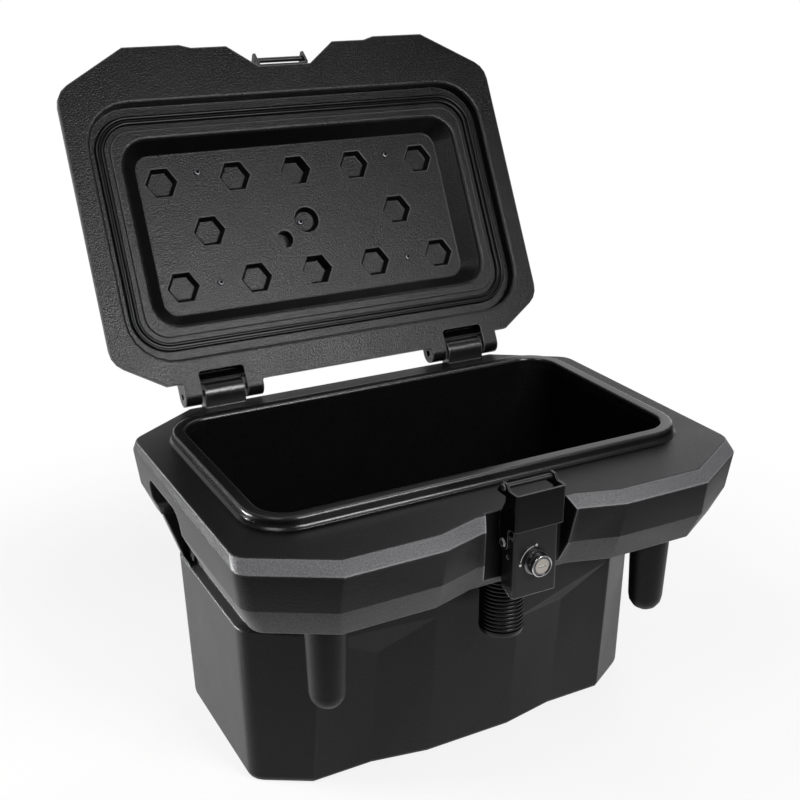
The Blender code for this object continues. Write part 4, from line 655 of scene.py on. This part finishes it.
# Grey zinc on the heads, duller than the other fixings, and painted shade on the steel inside the bore.
grey_zinc = plated("grey_zinc_plate", "#4c4d4f", "#66676a", gloss=(0.30, 0.42), patch_mm=HAZE_MM)
bore_painted_shade = plated("steel_bore_painted_shade", "#0c0c0d", "#121213", gloss=(0.4, 0.5), patch_mm=HAZE_MM)
FIXING_FACE = 0.4061
FIXING_OUT = 0.1395
FIXING_FRONT, FIXING_REAR = -0.06555, 0.08455
POCKET_X, POCKET_Y, POCKET_FACE = -0.006, 0.0145, 0.4161
fixings = {
    "lid_screw_1": ("recess_rivet_1", -FIXING_OUT, FIXING_FRONT, FIXING_FACE),
    "lid_screw_2": ("recess_rivet_2", FIXING_OUT, FIXING_FRONT, FIXING_FACE),
    "lid_screw_3": ("recess_rivet_3", -FIXING_OUT, FIXING_REAR, FIXING_FACE),
    "lid_screw_4": ("recess_rivet_4", FIXING_OUT, FIXING_REAR, FIXING_FACE),
    "round_recess_screw": ("pocket_rivet", POCKET_X, POCKET_Y, POCKET_FACE),
}
for node, (name, x, y, z) in fixings.items():
    made = bpy.data.objects.new(name, rivet.data.copy())
    shade(made, round_below=40)
    made.data.materials.append(grey_zinc)
    made.data.materials.append(bore_painted_shade)
    for face in made.data.polygons:
        if math.hypot(face.center.x, face.center.y) < BORE_RADIUS and face.center.z > 0:
            face.material_index = 1
    made.data.transform(swung_open @ Matrix.Translation((x, y, z)) @ Matrix.Rotation(math.pi, 4, "X"))
    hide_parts(node)
    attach(made, "lid")
bpy.data.objects.remove(rivet)


# Seal: an extruded rubber strip with two beads, pressed into the lid's groove, its two ends butted on
# the hinge side.

SEAL_HALF_WIDTH = 0.00625
SEAL_BACK = 0.3836
SEAL_HEIGHT = 0.0046
SEAL_FOOT = 0.0016
BEAD_HALF_WIDTH = 0.0027
BEAD_OUT = 0.0034
BEAD_STEPS = 8
LOOP_HALF_WIDTH, LOOP_FRONT, LOOP_REAR, LOOP_RADIUS = 0.2685, -0.133, 0.163, 0.043
SEAM = 0.0003
CORNER_STEPS = 14

section = [(SEAL_HALF_WIDTH, 0.0), (SEAL_HALF_WIDTH, -SEAL_FOOT)]
for side in (1, -1):
    for step in range(BEAD_STEPS + 1):
        angle = math.pi * step / BEAD_STEPS
        section.append((side * BEAD_OUT + BEAD_HALF_WIDTH * math.cos(angle),
                        -SEAL_FOOT - (SEAL_HEIGHT - SEAL_FOOT) * math.sin(angle)))
section += [(-SEAL_HALF_WIDTH, -SEAL_FOOT), (-SEAL_HALF_WIDTH, 0.0)]

# The strip's middle line runs clockwise from the seam. Each point carries the way out of the loop.
run = [((SEAM, LOOP_REAR), (0.0, 1.0))]
bends = [((1, LOOP_REAR - LOOP_RADIUS), 90), ((1, LOOP_FRONT + LOOP_RADIUS), 0),
         ((-1, LOOP_FRONT + LOOP_RADIUS), -90), ((-1, LOOP_REAR - LOOP_RADIUS), 180)]
for (side, y), start in bends:
    for step in range(CORNER_STEPS + 1):
        angle = math.radians(start - 90 * step / CORNER_STEPS)
        outward = (math.cos(angle), math.sin(angle))
        x = side * (LOOP_HALF_WIDTH - LOOP_RADIUS)
        run.append(((x + LOOP_RADIUS * outward[0], y + LOOP_RADIUS * outward[1]), outward))
run.append(((-SEAM, LOOP_REAR), (0.0, 1.0)))

mesh = bpy.data.meshes.new("seal_strip")
points = [(x + out * outward_x, y + out * outward_y, SEAL_BACK + rise)
          for (x, y), (outward_x, outward_y) in run for out, rise in section]
count = len(section)
strips = []
for ring in range(len(run) - 1):
    for i in range(count):
        j = (i + 1) % count
        strips.append((ring * count + i, ring * count + j, (ring + 1) * count + j, (ring + 1) * count + i))
ends = [tuple(range(count)), tuple(reversed(range((len(run) - 1) * count, len(run) * count)))]
mesh.from_pydata(points, [], strips + ends)
mesh.transform(swung_open)
seal = bpy.data.objects.new("seal_strip", mesh)
closed_up(seal)
shade(seal, round_below=40)
mesh.materials.append(moulded_rubber)
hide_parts("gasket")
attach(seal, "lid")


# Striker: a folded steel bracket screwed into the notch in the lid's front edge, with a rod across it
# that the hooks catch.

welded("striker_bracket", "lid", "striker_fold", satin_coat)
welded("striker_rod", "lid", "striker_bar", satin_coat)
for side in ("left", "right"):
    welded(f"striker_screw_{side}", "lid", f"striker_fixing_{side}", zinc_plate)


# Floor: a pale matt sheet that takes the box's shadow, and fades into the white of the studio some way
# from the box.

FLOOR_RADIUS = 4.0
FLOOR_DROP = 0.0005
FLOOR_STEPS = 96
FADE_START, FADE_END = 0.45, 1.1
WHITE_SHARE = 0.8
bpy.ops.object.select_all(action="DESELECT")
bpy.ops.mesh.primitive_circle_add(vertices=FLOOR_STEPS, radius=FLOOR_RADIUS, fill_type="NGON",
                                  location=(0, 0, -FLOOR_DROP))
floor = bpy.context.object
floor.name = "floor"
pale_sheet, tree, surface, place = new_finish("pale_matt_sheet")
surface.inputs["Base Color"].default_value = linear("#f2f2f1")
surface.inputs["Roughness"].default_value = 0.9
surface.inputs["Specular IOR Level"].default_value = 0.1


def shown_rays(tree):
    """One for the rays that show the background: straight, in a reflection or through glass."""
    rays = add(tree, "LightPath", {})
    seen = add(tree, "Math", {0: rays.outputs["Is Camera Ray"], 1: rays.outputs["Is Glossy Ray"]},
               operation="MAXIMUM")
    return add(tree, "Math", {0: seen.outputs["Value"], 1: rays.outputs["Is Transmission Ray"]},
               operation="MAXIMUM").outputs["Value"]


white = add(tree, "Emission", {"Strength": 1.0})
share = add(tree, "Math", {0: shown_rays(tree), 1: WHITE_SHARE}, operation="MULTIPLY")
lit = add(tree, "MixShader", {0: share.outputs["Value"], 1: surface.outputs["BSDF"],
                              2: white.outputs["Emission"]})
reach = add(tree, "VectorMath", {0: place}, operation="LENGTH")
fade = add(tree, "MapRange", {"Value": reach.outputs["Value"], "From Min": FADE_START, "From Max": FADE_END},
           interpolation_type="SMOOTHSTEP")
clear = add(tree, "BsdfTransparent", {})
mixed = add(tree, "MixShader", {0: fade.outputs["Result"], 1: lit.outputs["Shader"],
                                2: clear.outputs["BSDF"]})
tree.links.new(mixed.outputs["Shader"], tree.nodes["Material Output"].inputs["Surface"])
floor.data.materials.append(pale_sheet)


# Studio: a white sweep behind the box and a dim room in front of it, so that black plastic stays black.
# Soft boxes light the lid, the band of the rim and the sides.

scene = bpy.context.scene
scene.view_settings.view_transform = "Standard"
AMBIENT = 0.12
SWEEP = (0.25, 0.97, 0.0)
SWEEP_START, SWEEP_END = 0.48, 0.86
world = bpy.data.worlds.new("white_studio")
scene.world = world
world.use_nodes = True
tree = world.node_tree
backdrop = tree.nodes["Background"]
backdrop.inputs["Color"].default_value = (1, 1, 1, 1)
rays = add(tree, "LightPath", {})
toward = add(tree, "VectorMath", {0: add(tree, "TexCoord", {}).outputs["Generated"], 1: SWEEP},
             operation="DOT_PRODUCT")
behind = add(tree, "MapRange", {"Value": toward.outputs["Value"], "From Min": SWEEP_START,
                                "From Max": SWEEP_END})
mirrored = add(tree, "Math", {0: rays.outputs["Is Glossy Ray"], 1: behind.outputs["Result"]},
               operation="MULTIPLY")
straight = add(tree, "Math", {0: rays.outputs["Is Camera Ray"], 1: rays.outputs["Is Transmission Ray"]},
               operation="MAXIMUM")
shown = add(tree, "Math", {0: straight.outputs["Value"], 1: mirrored.outputs["Value"]},
            operation="MAXIMUM")
level = add(tree, "MapRange", {"Value": shown.outputs["Value"], "To Min": AMBIENT, "To Max": 1.0})
tree.links.new(level.outputs["Result"], backdrop.inputs["Strength"])


def soft_box(name, place, aim, width, height, power, spread=180):
    """A rectangular lamp, its power in watts and its spread in degrees."""
    lamp = bpy.data.lights.new(name, "AREA")
    lamp.shape = "RECTANGLE"
    lamp.size, lamp.size_y = width, height
    lamp.energy = power
    lamp.spread = math.radians(spread)
    lamp_object = bpy.data.objects.new(name, lamp)
    lamp_object.location = place
    lamp_object.rotation_mode = "QUATERNION"
    lamp_object.rotation_quaternion = (Vector(aim) - Vector(place)).to_track_quat("-Z", "Y")
    scene.collection.objects.link(lamp_object)


soft_box("front_bank", (0.62, -2.2, 1.78), aim=(0, 0.15, 0.5), width=1.1, height=0.5, power=56)
soft_box("upper_left_box", (-1.1, -0.6, 1.9), aim=(-0.2, -0.1, 0.36), width=0.8, height=0.7, power=9)
soft_box("rear_right_box", (0.95, 0.95, 2.1), aim=(0.1, -0.1, 0.36), width=0.8, height=0.8, power=8)
soft_box("left_box", (-1.45, 0.75, 0.13), aim=(-0.3, 0, 0.09), width=0.7, height=0.24, power=5, spread=36)
soft_box("right_box", (1.3, 0.65, 0.5), aim=(0.25, 0, 0.2), width=0.5, height=0.9, power=1.1)


# Camera: at the photograph's angle, from the front left and a little above. Its lens, place and
# direction were found by fitting the box's corners to the photograph.

CAMERA_LENS_MM, CAMERA_SENSOR_MM = 54.56, 36
CAMERA_PLACE = (-0.6581, -1.1529, 0.9345)
CAMERA_DIRECTION = (0.439, 0.8208, -0.3654)
camera = bpy.data.cameras.new("camera")
camera.sensor_width = CAMERA_SENSOR_MM
camera.lens = CAMERA_LENS_MM
camera_object = bpy.data.objects.new("camera", camera)
camera_object.location = CAMERA_PLACE
camera_object.rotation_mode = "QUATERNION"
camera_object.rotation_quaternion = Vector(CAMERA_DIRECTION).to_track_quat("-Z", "Y")
scene.collection.objects.link(camera_object)
scene.camera = camera_object
